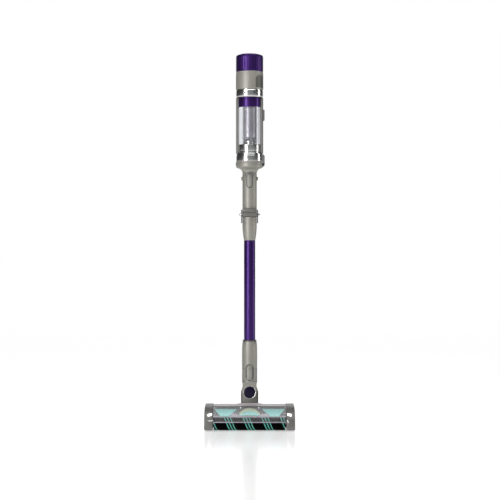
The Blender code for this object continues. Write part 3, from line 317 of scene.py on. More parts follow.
def smooth(obj, angle=35):
    """Smooth shading that stays crisp across edges sharper than angle."""
    mesh = obj.data
    mesh.shade_smooth()
    mesh.set_sharp_from_angle(angle=radians(angle))
    return obj


def shown(name, data):
    """A new object in the scene."""
    obj = bpy.data.objects.new(name, data)
    bpy.context.scene.collection.objects.link(obj)
    return obj


def piece(name, mesh_data, paints, body, replaced=None, slot=None):
    """A finished piece of the object: painted, smooth, riding on its body and standing for the CAD node
    it replaces. The slot argument is not used."""
    paints = [paints] if isinstance(paints, str) else paints
    slot = slot or paints[0]
    obj = shown(name, mesh_data)
    for paint in paints:
        obj.data.materials.append(PAINT[paint])
    smooth(obj)
    if body:
        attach(obj, body)
    if replaced:
        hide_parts(replaced)
    return obj


def mesh_of(name, verts, faces, marks=None):
    """A mesh with its faces turned outwards; marks give each face's material place."""
    mesh = bpy.data.meshes.new(name)
    mesh.from_pydata([tuple(v) for v in verts], [], faces)
    if marks:
        for polygon, mark in zip(mesh.polygons, marks):
            polygon.material_index = mark
    bm = bmesh.new()
    bm.from_mesh(mesh)
    bmesh.ops.remove_doubles(bm, verts=bm.verts, dist=1e-7)
    bmesh.ops.recalc_face_normals(bm, faces=bm.faces)
    bm.to_mesh(mesh)
    bm.free()
    return mesh


def placed(point, at, axis):
    """A point of a turned form about local Z, moved so that its axis is X, Y or Z through at."""
    x, y, z = point
    turned_to = {"Z": (x, y, z), "Y": (x, -z, y), "X": (z, y, -x)}[axis]
    return Vector(turned_to) + Vector(at)


def rounded_profile(profile, radius, steps=3):
    """The closed profile with each sharp corner rounded by up to radius."""
    made = []
    count = len(profile)
    for i, here in enumerate(profile):
        before, after = Vector(profile[i - 1]), Vector(profile[(i + 1) % count])
        corner = Vector(here)
        a, b = before - corner, after - corner
        if here[0] < 1e-6 or a.length < 1e-7 or b.length < 1e-7 or a.angle(b) > radians(160):
            made.append(tuple(corner))
            continue
        reach = min(radius, a.length * 0.4, b.length * 0.4)
        start, end = corner + a.normalized() * reach, corner + b.normalized() * reach
        for k in range(steps + 1):
            t = k / steps
            made.append(tuple((1 - t) ** 2 * start + 2 * t * (1 - t) * corner + t * t * end))
    return made


def lathe(name, profile, at=(0, 0, 0), axis="Z", steps=FINE, edge=0.0004, waves=None):
    """A closed profile of (radius, height) turned round an axis. waves(angle, radius, height) may give
    back a new radius, for flutes and pleats."""
    if edge:
        profile = rounded_profile(profile, edge)
    verts, faces = [], []
    count = len(profile)
    for i in range(steps):
        angle = 2 * pi * i / steps
        for radius, height in profile:
            r = waves(angle, radius, height) if waves else radius
            verts.append(placed((r * cos(angle), r * sin(angle), height), at, axis))
    for i in range(steps):
        j = (i + 1) % steps
        for k in range(count):
            m = (k + 1) % count
            quad = (i * count + k, j * count + k, j * count + m, i * count + m)
            if profile[k][0] < 1e-6 and profile[m][0] < 1e-6:
                continue
            faces.append(quad)
    return mesh_of(name, verts, faces)


def extrude(name, outline, low, high, through="X", bevel=0.0006, segments=3):
    """A flat outline given thickness from low to high, with its edges rounded. Through X takes (y, z),
    through Y takes (x, z) and through Z takes (x, y)."""
    lay = {
        "X": lambda a, b, d: Vector((d, a, b)),
        "Y": lambda a, b, d: Vector((a, d, b)),
        "Z": lambda a, b, d: Vector((a, b, d)),
    }[through]
    count = len(outline)
    verts = [lay(a, b, low) for a, b in outline] + [lay(a, b, high) for a, b in outline]
    faces = [tuple(range(count)), tuple(range(2 * count - 1, count - 1, -1))]
    faces += [(i, (i + 1) % count, count + (i + 1) % count, count + i) for i in range(count)]
    mesh = mesh_of(name, verts, faces)
    if bevel:
        round_edges(mesh, bevel, segments)
    return mesh


def round_edges(mesh, width, segments=3, angle=30):
    bm = bmesh.new()
    bm.from_mesh(mesh)
    sharp = [e for e in bm.edges if len(e.link_faces) == 2 and e.calc_face_angle(0) > radians(angle)]
    bmesh.ops.bevel(
        bm, geom=sharp, offset=width, segments=segments, profile=0.5, affect="EDGES", clamp_overlap=True
    )
    bmesh.ops.recalc_face_normals(bm, faces=bm.faces)
    bm.to_mesh(mesh)
    bm.free()


def rectangle(left, right, low, high):
    return [(left, low), (right, low), (right, high), (left, high)]


def mirrored(half):
    """A profile's upper half, followed by the same points below in the other order."""
    return half + [(radius, -height) for radius, height in reversed(half)]


def across(side, near, far):
    """Two distances out from the middle on one side, as a low and a high x."""
    return sorted((side * near, side * far))


def block(name, low, high, bevel=0.0008, segments=3):
    outline = rectangle(low[0], high[0], low[1], high[1])
    return extrude(name, outline, low[2], high[2], "Z", bevel, segments)


def merge(name, meshes, marks=None):
    """Several meshes as one, each with its own material place if marks are given."""
    bm = bmesh.new()
    for i, mesh in enumerate(meshes):
        first = len(bm.faces)
        bm.from_mesh(mesh)
        bm.faces.ensure_lookup_table()
        if marks and marks[i] is not None:
            for face in bm.faces[first:]:
                face.material_index = marks[i]
    made = bpy.data.meshes.new(name)
    bm.to_mesh(made)
    bm.free()
    return made


def combined(mesh, other, operation):
    """The mesh less the other's shape for DIFFERENCE, or the part inside it for INTERSECT."""
    target, tool = shown("carving", mesh), shown("cutter", other)
    step = target.modifiers.new("cut", "BOOLEAN")
    step.object = tool
    step.operation = operation
    step.solver = "EXACT"
    graph = bpy.context.evaluated_depsgraph_get()
    made = bpy.data.meshes.new_from_object(target.evaluated_get(graph))
    bpy.data.objects.remove(tool)
    bpy.data.objects.remove(target)
    return made


def carve(mesh, *cutters):
    """The mesh with each cutter's shape taken out."""
    for cutter in cutters:
        mesh = combined(mesh, cutter, "DIFFERENCE")
    return mesh


def curve(p, q, r, steps=8):
    """Points on the curve from p to r that leans towards q."""
    p, q, r = Vector(p), Vector(q), Vector(r)
    made = []
    for i in range(steps + 1):
        t = i / steps
        made.append(tuple((1 - t) ** 2 * p + 2 * t * (1 - t) * q + t * t * r))
    return made


def arc(centre, radius, start, end, steps=16):
    return [
        (
            centre[0] + radius * cos(start + (end - start) * i / steps),
            centre[1] + radius * sin(start + (end - start) * i / steps),
        )
        for i in range(steps + 1)
    ]


def oval(width, height, centre, steps=12):
    """A slot with round ends, width across and height tall."""
    r = width / 2
    top = arc((centre[0], centre[1] + height / 2 - r), r, 0, pi, steps)
    return top + arc((centre[0], centre[1] - height / 2 + r), r, pi, 2 * pi, steps)


def wrapped(mesh, radius):
    """A form laid out flat in x and z with its depth in y, wrapped round the wand's axis: y 0 is the
    surface of radius, and negative y stands out from it."""
    for v in mesh.vertices:
        angle = v.co.x / radius
        r = radius - v.co.y
        v.co = Vector((r * sin(angle), -r * cos(angle), v.co.z))
    return mesh


def turned_about_z(mesh, angle):
    mesh.transform(Matrix.Rotation(angle, 4, "Z"))
    return mesh


# Filter cap and motor housing


CAP_FLUTES = 44
PLEATS = 60


def cap_flutes(angle, radius, height):
    """Shallow finger flutes round the cap's side."""
    on_side = radius > BODY_RADIUS - 0.0012 and CAP_Z + 0.004 < height < SHOULDER_Z - 0.004
    return radius - 0.00035 * (0.5 + 0.5 * cos(CAP_FLUTES * angle)) if on_side else radius


def pleat_folds(angle, radius, height):
    """Deep folds round the outside of the filter paper."""
    return radius - (0.002 * (0.5 + 0.5 * cos(PLEATS * angle)) if radius > 0.03 else 0)


def make_cap():
    """The purple cap with its flutes and turn marks, and the pleated filter inside it."""
    side = [(BODY_RADIUS, CAP_Z + 0.0028 + 0.002 * i) for i in range(22)]
    dome = curve(
        (BODY_RADIUS - 0.0012, SHOULDER_Z + 0.0002), (0.0335, DOME_Z), (0.0, DOME_Z - 0.0001), 14,
    )
    wall = BODY_RADIUS - SHELL_WALL
    foot = [
        (wall, CAP_Z + 0.0003), (BODY_RADIUS - 0.0008, CAP_Z + 0.0003),
        (BODY_RADIUS - 0.0006, CAP_Z + 0.0016),
    ]
    profile = foot + side + dome + [(0.0, SHOULDER_Z - 0.006), (wall, SHOULDER_Z - 0.006)]
    body = lathe("cap_shell", profile, steps=CAP_FLUTES * 6, edge=0.0002, waves=cap_flutes)
    piece("filter_cap_shell", body, "purple_gloss", "filter_cap", "filter_cap")
    groove = [
        (0.029, DOME_Z - 0.0022), (0.0294, DOME_Z - 0.0014),
        (0.03, DOME_Z - 0.0014), (0.0302, DOME_Z - 0.0026),
    ]
    line = lathe("top_line", groove, edge=0)
    piece("filter_cap_top_line", line, "dark_purple", "filter_cap")
    marks = []
    for side in (-1, 1):
        outline = [(side * 0.004, 0.0), (side * 0.0075, 0.0045), (side * 0.0011, 0.0045)]
        arrow = extrude("arrow", outline, DOME_Z - 0.0006, DOME_Z - 0.00005, "Z", 0.0002, 1)
        arrow.transform(Matrix.Translation((0, side * 0.006 - 0.003, 0)))
        marks.append(arrow)
    piece("filter_cap_turn_marks", merge("turn_marks", marks), "dark_purple", "filter_cap")
    wall -= 0.003
    profile = rectangle(wall, 0.019, CAP_Z + 0.005, SHOULDER_Z - 0.0075)
    folded = lathe("pleats", profile, steps=PLEATS * 4, edge=0, waves=pleat_folds)
    piece("hepa_pleats", folded, "filter_paper", "filter_cap", "hepa_filter")


def make_housing():
    """The motor housing, with a light lip under the cap and a rolled lower edge."""
    wall = BODY_RADIUS - SHELL_WALL
    top = CAP_Z - GAP
    profile = [
        (wall, HOUSING_Z), (BODY_RADIUS - 0.0003, HOUSING_Z), (BODY_RADIUS, HOUSING_Z + 0.0015),
        (BODY_RADIUS, top - 0.0072), (BODY_RADIUS - 0.0005, top - 0.0068),
        (BODY_RADIUS - 0.0005, top - 0.0062), (BODY_RADIUS, top - 0.0058), (BODY_RADIUS, top - 0.0008),
        (BODY_RADIUS - 0.0006, top), (wall, top),
    ]
    shell = lathe("housing", profile, edge=0.0002)
    piece("motor_housing_shell", shell, "warm_grey", "hand_vacuum", "motor_housing")
    for side, name in SIDES:
        make_vent(side, name)


VENT_TOP = CAP_Z - 0.0105
VENT_CORNER = 0.016


def vent_edge(side, z):
    """The angle from the front where the patch starts at height z: its upper corner is rounded."""
    up = max(0.0, (z - (VENT_TOP - VENT_CORNER)) / VENT_CORNER)
    first = radians(26) if side > 0 else radians(74)
    return first + radians(20) * (1 - (1 - min(1.0, up) ** 2) ** 0.5)


def make_vent(side, name):
    """A perforated patch on one side of the housing: staggered round holes drawn on a dark bed."""
    low, high = HOUSING_Z + 0.0045, VENT_TOP
    end = radians(150)
    bed, faces = [], []
    rows, columns = 16, 24
    for r in range(rows + 1):
        z = low + (high - low) * r / rows
        start = vent_edge(side, z)
        for c in range(columns + 1):
            angle = side * (start + (end - start) * c / columns)
            bed.append((sin(angle) * (BODY_RADIUS + 0.00005), -cos(angle) * (BODY_RADIUS + 0.00005), z))
    for r in range(rows):
        for c in range(columns):
            a = r * (columns + 1) + c
            faces.append((a, a + 1, a + columns + 2, a + columns + 1))
    piece(
        f"vent_bed_{name}", mesh_of("vent_bed", bed, faces), "vent_grey", "hand_vacuum",
        slot="dark_grey",
    )
    pitch = 0.0021
    holes, hole_faces = [], []
    row = 0
    z = low + 0.0012
    while z < high - 0.0008:
        start, step = vent_edge(side, z) + 0.03, pitch / BODY_RADIUS
        angle = start + (step / 2 if row % 2 else 0)
        while angle < end - 0.02:
            add_dot(holes, hole_faces, side * angle, z, BODY_RADIUS, 0.00062, 8, 0.00012)
            angle += step
        z += pitch * 0.866
        row += 1
    made = mesh_of("vent_holes", holes, hole_faces)
    piece(f"vent_holes_{name}", made, "ink", "hand_vacuum", slot="dark_grey")


def make_band():
    """The bright band under the housing, with two small latch marks at its front."""
    top = HOUSING_Z - GAP
    wall = BODY_RADIUS - SHELL_WALL
    profile = [
        (wall, BAND_Z), (BODY_RADIUS - 0.0022, BAND_Z), (BODY_RADIUS - 0.0004, BAND_Z + 0.003),
        (BODY_RADIUS - 0.0001, BAND_Z + 0.006), (BODY_RADIUS - 0.0001, top - 0.0035),
        (BODY_RADIUS - 0.001, top - 0.0022), (BODY_RADIUS - 0.001, top), (wall, top),
    ]
    band = lathe("band", profile, edge=0.0003)
    piece("chrome_band_shell", band, "silver_trim", "hand_vacuum", "chrome_band")
    marks = []
    for x in (-0.015, 0.014):
        mark = extrude(
            "mark", oval(0.0034, 0.0058, (x, BAND_Z + 0.0125), 8), -0.0004, 0.0008, "Y", 0.0002, 2,
        )
        marks.append(wrapped(mark, BODY_RADIUS))
    piece("chrome_band_marks", merge("band_marks", marks), "ink", "hand_vacuum", slot="dark_grey")


# Frame, cup and rings


def frame_outline(bore, rim, lip_y, steps=40):
    """The frame from above, open to the front, as (x, y)."""
    start = atan2(lip_y, (rim**2 - lip_y**2) ** 0.5)
    outer = arc((0, 0), rim, start, pi - start, steps)
    inner_start = atan2(lip_y, (bore**2 - lip_y**2) ** 0.5)
    inner = arc((0, 0), bore, pi - inner_start, inner_start, steps)
    return outer, inner


def make_frame():
    """The open-fronted frame: a dark shell outside, a pale liner inside, and a bead along each lip."""
    low, high = CUP_Z, BAND_Z - GAP
    outer, inner = frame_outline(CUP_RADIUS + 0.0008, BODY_RADIUS, -0.0112)
    shell = extrude("shell", outer + inner, low, high, "Z", 0.001, 3)
    seat = block("seat", (BODY_RADIUS - 0.0037, -0.0095, 0.9307), (0.06, 0.0095, 0.9657), 0)
    shell = carve(shell, seat)
    for side, name in SIDES:
        lip = curve((-0.0118, low + 0.001), (-0.0118, high - 0.004), (-0.0118, high - 0.01), 6)
        lip += curve((-0.0118, high - 0.01), (-0.0112, high - 0.0015), (-0.004, high - 0.0008), 8)
        path = [(side * rail_x(y), y, z) for y, z in lip]
        bead = tube_along("bead", path, 0.001)
        piece(f"frame_lip_{name}", bead, "warm_grey", "hand_vacuum")
    piece("vac_frame_shell", shell, "side_grey", "hand_vacuum", "vac_frame", "dark_grey")
    liner_outer, liner_inner = frame_outline(CUP_RADIUS + 0.0007, CUP_RADIUS + 0.0009, -0.0108)
    liner = extrude("liner", liner_outer + liner_inner, low + 0.003, high - 0.002, "Z", 0)
    piece("frame_liner", liner, "pearl", "hand_vacuum", slot="silver_trim")
    ridges = [
        block("ridge", (0.0452, -0.0065, z), (0.0459, 0.0065, z + 0.0016), 0.0003, 2)
        for z in (0.9365 + 0.0058 * i for i in range(5))
    ]
    body = block("press", (BODY_RADIUS - 0.0017, -0.0089, 0.9313), (0.0455, 0.0089, 0.9651), 0.0025, 4)
    pressed = merge("press_all", [body, *ridges])
    piece("cup_button_cap", pressed, "side_grey", "cup_button", "cup_button", "dark_grey")


def rail_x(y):
    """How far out the frame's lip stands at depth y: the middle of its wall."""
    middle = (CUP_RADIUS + BODY_RADIUS + 0.0008) / 2
    return (max(0.0, middle**2 - y**2)) ** 0.5


def tube_along(name, path, radius, sides=10):
    """A round bead along a path, closed at both ends."""
    points = [Vector(p) for p in path]
    verts, faces = [], []
    for i, here in enumerate(points):
        ahead = points[min(i + 1, len(points) - 1)] - points[max(i - 1, 0)]
        turn = ahead.normalized().to_track_quat("Z", "Y").to_matrix()
        for k in range(sides):
            angle = 2 * pi * k / sides
            verts.append(here + turn @ Vector((radius * cos(angle), radius * sin(angle), 0)))
    for i in range(len(points) - 1):
        for k in range(sides):
            m = (k + 1) % sides
            faces.append((i * sides + k, i * sides + m, (i + 1) * sides + m, (i + 1) * sides + k))
    faces.append(tuple(range(sides - 1, -1, -1)))
    faces.append(tuple(range((len(points) - 1) * sides, len(points) * sides)))
    return mesh_of(name, verts, faces)


def make_cup():
    """The clear cup with a level line on its side, round the perforated shroud."""
    r = CUP_RADIUS
    inner = r - 0.002
    top = CUP_TOP_Z - GAP
    glass = lathe("glass", rectangle(inner, r, CUP_CLEAR_Z, top), edge=0.0002)
    piece("dust_cup_glass", glass, "clear_smoke", "dust_cup", "dust_cup")
    outline = finely(rectangle(-0.01, 0.01, 0.88, 0.8805), 12)
    mark = extrude("level", outline, -0.00012, 0.0, "Y", 0)
    mark = turned_about_z(wrapped(mark, r), radians(-52))
    piece("cup_level_line", merge("level_lines", [mark]), "warm_grey", "dust_cup")

    make_shroud(top)


def make_shroud(high):
    """The metallic shroud inside the cup, with its staggered holes and its skirt."""
    skirt = CUP_CLEAR_Z + 0.017
    s = SHROUD_RADIUS
    profile = [
        (s - 0.002, high), (s, high), (s, 0.964), (s - 0.0006, 0.9634), (s - 0.0006, 0.8935),
        (s, 0.8929), (s, skirt + 0.006), (s - 0.003, skirt), (s - 0.0055, skirt),
        (s - 0.0055, skirt + 0.006), (s - 0.002, skirt + 0.01),
    ]
    body = lathe("shroud", profile, edge=0.0003)
    piece("shroud_body", body, "shroud_grey", "dust_cup", "cyclone_shroud")
    dots, faces = [], []
    z, row = 0.8952, 0
    while z < 0.9625:
        for i in range(84):
            angle = 2 * pi * (i + (row % 2) / 2) / 84
            add_dot(dots, faces, angle, z, s - 0.00052, 0.00036, 6)
        z += 0.00135
        row += 1
    piece("shroud_mesh", mesh_of("shroud_dots", dots, faces), "ink", "dust_cup", slot="shroud_grey")


def add_dot(verts, faces, angle, z, radius, size, sides, proud=0.0):
    """One small round hole drawn as a disc on an upright round wall, a little proud of it."""
    first = len(verts)
    r = radius + proud
    for i in range(sides):
        turn = 2 * pi * i / sides
        a = angle + size * cos(turn) / radius
        verts.append((r * sin(a), -r * cos(a), z + size * sin(turn)))
    faces.append(tuple(range(first, first + sides)))


def finely(outline, parts):
    """The outline with each side split, so that it bends smoothly when wrapped."""
    made = []
    for i, here in enumerate(outline):
        after = outline[(i + 1) % len(outline)]
        for k in range(parts):
            t = k / parts
            made.append((here[0] + (after[0] - here[0]) * t, here[1] + (after[1] - here[1]) * t))
    return made


def make_rings():
    """The purple band over the cup and the bright band under it."""
    r = CUP_RADIUS
    top = BAND_Z - 0.0005
    profile = [
        (0.0205, CUP_TOP_Z), (r - 0.0002, CUP_TOP_Z), (r, CUP_TOP_Z + 0.0012), (r, CUP_TOP_Z + 0.0252),
        (r - 0.0006, CUP_TOP_Z + 0.0258), (r - 0.0006, CUP_TOP_Z + 0.0264), (r, CUP_TOP_Z + 0.027),
        (r, top), (r - 0.003, top), (r - 0.003, CUP_TOP_Z + 0.003), (0.0205, CUP_TOP_Z + 0.003),
    ]
    band = lathe("top_band", profile, edge=0.0002)
    piece("cup_top_band", band, "purple_gloss", "dust_cup", "cup_top_ring")

    low, top = CUP_Z, CUP_CLEAR_Z - GAP
    profile = [
        (0.012, low), (r - 0.0006, low), (r - 0.0001, low + 0.001), (r - 0.0001, low + 0.0052),
        (r - 0.0007, low + 0.0057), (r - 0.0007, low + 0.0063), (r - 0.0001, low + 0.0068),
        (r - 0.0001, top - 0.0012), (r - 0.0006, top), (r - 0.002, top), (r - 0.002, low + 0.003),
        (0.0135, low + 0.003), (0.0135, CUP_CLEAR_Z + 0.012), (0.012, CUP_CLEAR_Z + 0.012),
    ]
    line = lathe("line", rectangle(r - 0.001, r + 0.0001, low, low + 0.0007), edge=0)
    piece("cup_foot_line", line, "ink", "dust_cup", slot="dark_grey")
    band = lathe("bottom_band", profile, edge=0.0002)
    piece("cup_bottom_band", band, "silver_trim", "dust_cup", "cup_bottom_ring")


# Lower ring, inlet base and the door's hinge


DOOR_X = 0.0405
DOOR_Z = 0.7975
DOOR_AXIS = (DOOR_X, 0, DOOR_Z)


def make_lower_ring():
    """The bright ring under the cup, stepped near its top, with the ears of the door's hinge."""
    top = CUP_Z - GAP
    r = BODY_RADIUS - 0.0006
    profile = [
        (0.026, LOWER_RING_Z), (r - 0.0006, LOWER_RING_Z), (r, LOWER_RING_Z + 0.001), (r, top - 0.0068),
        (r - 0.0009, top - 0.006), (r - 0.0009, top - 0.0012), (r - 0.0018, top), (0.026, top),
    ]
    ring = lathe("ring", profile, edge=0.0003)
    radius = 0.0056
    parts = [ring]
    for side in (-1, 1):
        low, high = across(side, 0.0081, 0.0131)
        sides = [
            (DOOR_X + radius, 0.8235), (DOOR_X + 0.0005, top - 0.002), (DOOR_X - radius, top - 0.002),
        ]
        outline = arc((DOOR_X, DOOR_Z), radius, pi, 2 * pi, 16) + sides
        parts.append(extrude("ear", outline, low, high, "Y", 0.0008))
    merged = merge("lower_ring_all", parts)
    piece("lower_ring_shell", merged, "silver_trim", "hand_vacuum", "lower_ring")


def make_inlet_base():
    """The grey funnel under the vacuum: a level band, a concave taper to the wand, and a latch."""
    top = LOWER_RING_Z - GAP
    r = BODY_RADIUS - 0.0002
    bend = (0.0345, FLANGE_Z - 0.0043)
    flare = curve((r - 0.0002, FLANGE_Z + 0.0012), (r - 0.0005, FLANGE_Z - 0.003), bend, 8)
    flare += curve(bend, (0.0235, FLANGE_Z - 0.0068), (0.0219, BASE_Z + 0.0003), 14)[1:]
    spigot = 0.0189
    profile = [
        (0.03, top), (r - 0.0008, top), (r, top - 0.001), (r, top - 0.0048), (r - 0.0006, top - 0.0052),
        (r - 0.0006, top - 0.0057), (r, top - 0.0061), *flare, (spigot, BASE_Z + 0.0003),
        (spigot, BASE_Z - 0.04), (0.0145, BASE_Z - 0.04), (0.0145, FLANGE_Z + 0.008),
        (0.024, FLANGE_Z + 0.008), (0.024, top - 0.0035), (0.03, top - 0.0035),
    ]
    shell = lathe("base", profile, edge=0.0002)
    cutters = []
    for side in (-1, 1):
        low, high = across(side, 0.0075, 0.014)
        cutters.append(
            block("ear_way", (DOOR_X - 0.0066, low, DOOR_Z - 0.0066), (0.06, high, top + 0.01), 0)
        )
    cutters.append(block("latch_way", (-0.06, -0.0075, 0.7947), (-0.036, 0.0075, 0.8037), 0))
    shell = carve(shell, *cutters)
    profile = rectangle(0.0033, 0.0057, -0.0073, 0.0073)
    knuckle = lathe("knuckle", profile, DOOR_AXIS, "Y", 32, 0.0006)
    merged = merge("inlet_base_all", [shell, knuckle])
    piece("inlet_base_shell", merged, "warm_grey", "inlet_base", "inlet_base")
    half = [(0, -0.014), (0.0043, -0.014), (0.0047, -0.0137), (0.0047, -0.0133), (0.0031, -0.0133)]
    pin = lathe("pin", mirrored(half), DOOR_AXIS, "Y", 32, 0.0003)
    piece("door_pin_turned", pin, "black_rubber", "inlet_base", "door_pin")
    body = block("latch_body", (-0.0418, -0.0069, 0.7953), (-0.0385, 0.0069, 0.8031), 0.0009, 3)
    ribs = [
        block("rib", (-0.0421, -0.0052, z), (-0.0417, 0.0052, z + 0.0009), 0.0002, 2)
        for z in (0.7968, 0.7988, 0.8008)
    ]
    latch = merge("latch_all", [body, *ribs])
    piece("door_latch_cap", latch, "dark_grey", "door_latch", "door_latch")


# Upper wand


WAND_BUTTON = (0, BASE_Z - 0.0245)


def make_upper_wand():
    """The upper wand's tube, with an arched hood over its release button and a lug on each side."""
    r = UPPER_RADIUS
    profile = [
        (0.016, RING_TOP), (r - 0.0006, RING_TOP), (r, RING_TOP + 0.0008), (r, BASE_Z - 0.0022),
        (r - 0.0005, BASE_Z - 0.0016), (r - 0.0005, BASE_Z - GAP), (0.0194, BASE_Z - GAP),
        (0.0194, RING_TOP + 0.03), (0.016, RING_TOP + 0.02),
    ]
    tube = lathe("tube", profile, edge=0.0002)
    well = button_well((0.015, 0.04), WAND_BUTTON, r, 0.0045)
    tube = carve(tube, well)
    parts = [tube]
    profile = [
        (0, 0.0), (0.0058, 0.0), (0.0058, 0.0016), (0.0049, 0.0034), (0.003, 0.0041), (0, 0.0042),
    ]
    for side in (-1, 1):
        lug = lathe("lug", profile, steps=32)
        place = Matrix.Translation((side * (r - 0.0002), 0.002, RING_TOP + 0.091))
        lug.transform(place @ Matrix.Rotation(side * pi / 2, 4, "Y"))
        parts.append(lug)
    arch = flat_path(arc((0, BASE_Z - 0.012), 0.0118, radians(-4), radians(184), 28))
    parts.append(wrapped_tube("hood_rim", arch, 0.001, r))
    piece("upper_tube_shell", merge("upper_all", parts), "warm_grey", "upper_wand", "upper_wand_tube")
    rim = oval_band("button_rim", WAND_BUTTON, (0.0196, 0.0446), (0.0152, 0.0402), r)
    # Painted shade: a dark bead round the outside of the hood's arch, merged with the button's dark rim
    # and given its dark paint.
    shadow = flat_path(arc((0, BASE_Z - 0.0122), 0.014, radians(-2), radians(182), 28))
    rim_and_arch_shade = merge("rim_and_arch_shade", [rim, wrapped_tube("arch_shade", shadow, 0.0011, r)])
    piece("wand_button_rim_and_arch_shade", rim_and_arch_shade, "print_dark", "upper_wand", slot="dark_grey")
    face = extrude(
        "face", finely(oval(0.014, 0.039, WAND_BUTTON, 16), 2), -0.001, 0.0003, "Y", 0.0005, 3,
    )
    ribs = cross_ribs(
        0.0042, 0.001, -0.0015, -0.0008, [BASE_Z - down for down in (0.018, 0.0155, 0.013)],
    )
    pressed = wrapped(merge("wand_button_all", [face, *ribs]), r)
    piece("wand_button_cap", pressed, "warm_grey", "wand_button", "wand_button")


def cross_ribs(half_width, tall, front, back, heights):
    """Small raised bars across a button's face, laid out flat."""
    return [
        extrude("rib", rectangle(-half_width, half_width, z, z + tall), front, back, "Y", 0.0002, 2)
        for z in heights
    ]


def flat_path(outline):
    """An outline of (x, z) as a path of (x, 0, z)."""
    return [(x, 0.0, z) for x, z in outline]


def button_well(size, centre, radius, depth):
    """The straight-sided well that a button moves into, sunk depth below the front of a round tube."""
    return extrude("well", oval(*size, centre, 24), -radius - 0.01, -radius + depth, "Y", 0)


def oval_band(name, centre, outside, inside, wrap):
    """A flat oval band round a button's well, laid on the wand's surface."""
    outer = extrude(name, finely(oval(*outside, centre, 18), 2), -0.0003, 0.0006, "Y", 0)
    inner = extrude(name, finely(oval(*inside, centre, 18), 2), -0.01, 0.01, "Y", 0)
    return wrapped(carve(outer, inner), wrap)


def wrapped_tube(name, path, radius, wrap):
    """A bead laid on the wand's surface along a flat path of (x, y, z), positive y standing out."""
    path = [(wrap * sin(x / wrap), -wrap * cos(x / wrap) - y, z) for x, y, z in path]
    return tube_along(name, path, radius)


# The folding joint


FOLD_AXIS = (0, FLEX_Y, FLEX_Z)
FOLD_LEAN = 0.577  # slope of the knuckle's underside, the tangent of 30 degrees


def make_flex():
    """The joint that lets the wand fold: two rings, round-ended cheeks, the pin and the bellows."""
    r = UPPER_RADIUS
    bore = HOSE_RADIUS + 0.001
    low, high = COLLAR_TOP + GAP, FLEX_Z - 0.0004
    cheek_in, cheek_out = r + 0.0008, r + 0.004
    profile = [
        (bore, low), (r - 0.0003, low), (r, low + 0.0006),
        (r, high - 0.0004), (r - 0.0004, high), (bore, high),
    ]
    lower = lathe("low_ring", profile, edge=0.0001)
    reach = r + 0.0004
    swing = lathe("swing", rectangle(0, 0.0067, -reach, reach), FOLD_AXIS, "X", 48, 0)
    parts = [carve(lower, swing)]
    top = RING_TOP - 0.0042
    front = FLEX_Y - 0.0067
    foot = COLLAR_TOP - 0.0188
    cheek = (
        [(front, low + 0.001), (-0.0058, low), (-0.005, foot + 0.002)]
        + arc((0, foot + 0.0046), 0.0046, pi, 2 * pi, 10)
        + [(0.0058, COLLAR_TOP + 0.001), (0.015, COLLAR_TOP + 0.003)]
        + curve((0.015, top - 0.006), (0.015, top), (0.009, top), 6)
        + curve((front + 0.006, top), (front, top), (front, top - 0.006), 6)
    )
    for side in (-1, 1):
        a, b = across(side, cheek_in, cheek_out)
        parts.append(extrude("cheek", cheek, a, b, "X", 0.0008, 3))
        a, b = across(side, r - 0.003, cheek_in + 0.001)
        parts.append(block("bridge", (a, -0.004, COLLAR_TOP + 0.0008), (b, 0.01, high - GAP), 0))
    merged = merge("flex_low", parts)
    piece("flex_lower_shell", merged, "dark_grey", "lower_wand", "flex_lower_ring")
    make_upper_ring(front, bore, cheek_in)
    make_fold_pin(cheek_out + GAP)
    make_bellows()


def make_upper_ring(front, bore, cheek_in):
    """The upper ring, banded near its top, with the knuckle that turns on the pin."""
    r = UPPER_RADIUS
    low, high = FLEX_Z + 0.0004, RING_TOP - GAP
    half = cheek_in - 0.0006
    profile = [
        (bore, low), (r - 0.0004, low), (r, low + 0.0004), (r, high - 0.0034),
        (r - 0.0006, high - 0.0029), (r - 0.0006, high - 0.0022), (r, high - 0.0017),
        (r, high - 0.0004), (r - 0.0004, high), (bore, high),
    ]
    ring = lathe("high_ring", profile, edge=0.0001)
    face = front + 0.0007
    brow = FLEX_Z + (FLEX_Y - face) / FOLD_LEAN
    outline = (
        [(FLEX_Y + 0.0004, low + 0.0004), (face, brow + 0.0004)]
        + curve((face, high - 0.004), (face, high), (front + 0.004, high), 6)
        + [(-0.014, high), (-0.014, low)]
    )
    knuckle = extrude("knuckle_block", outline, -half, half, "X", 0.0004, 2)
    barrel = lathe("barrel", rectangle(0.0031, 0.0061, -half, half), FOLD_AXIS, "X", 32, 0.0005)
    hollow = lathe("hollow", rectangle(0, bore, low - 0.02, high + 0.02), steps=48, edge=0)
    knuckle = carve(knuckle, hollow)
    ribs = []
    for x in (-0.0135, 0.0135):
        outline = rectangle(x - 0.0006, x + 0.0006, brow + 0.002, high - 0.003)
        ribs.append(extrude("front_rib", outline, front + 0.0003, front + 0.0012, "Y", 0.0002, 2))
    merged = merge("flex_high", [ring, knuckle, barrel, *ribs])
    piece("flex_upper_shell", merged, "joint_grey", "upper_wand", "flex_upper_ring", "warm_grey")


def make_fold_pin(head):
    """The joint's pin, with a domed head outside each cheek."""
    half = [
        (0, head + 0.0051), (0.0024, head + 0.0048), (0.004, head + 0.0024), (0.0047, head),
        (0.0029, head),
    ]
    pin = lathe("pin", mirrored(half), FOLD_AXIS, "X", 40, 0.0003)
    piece("flex_pin_turned", pin, "silver_trim", "lower_wand", "flex_pin")


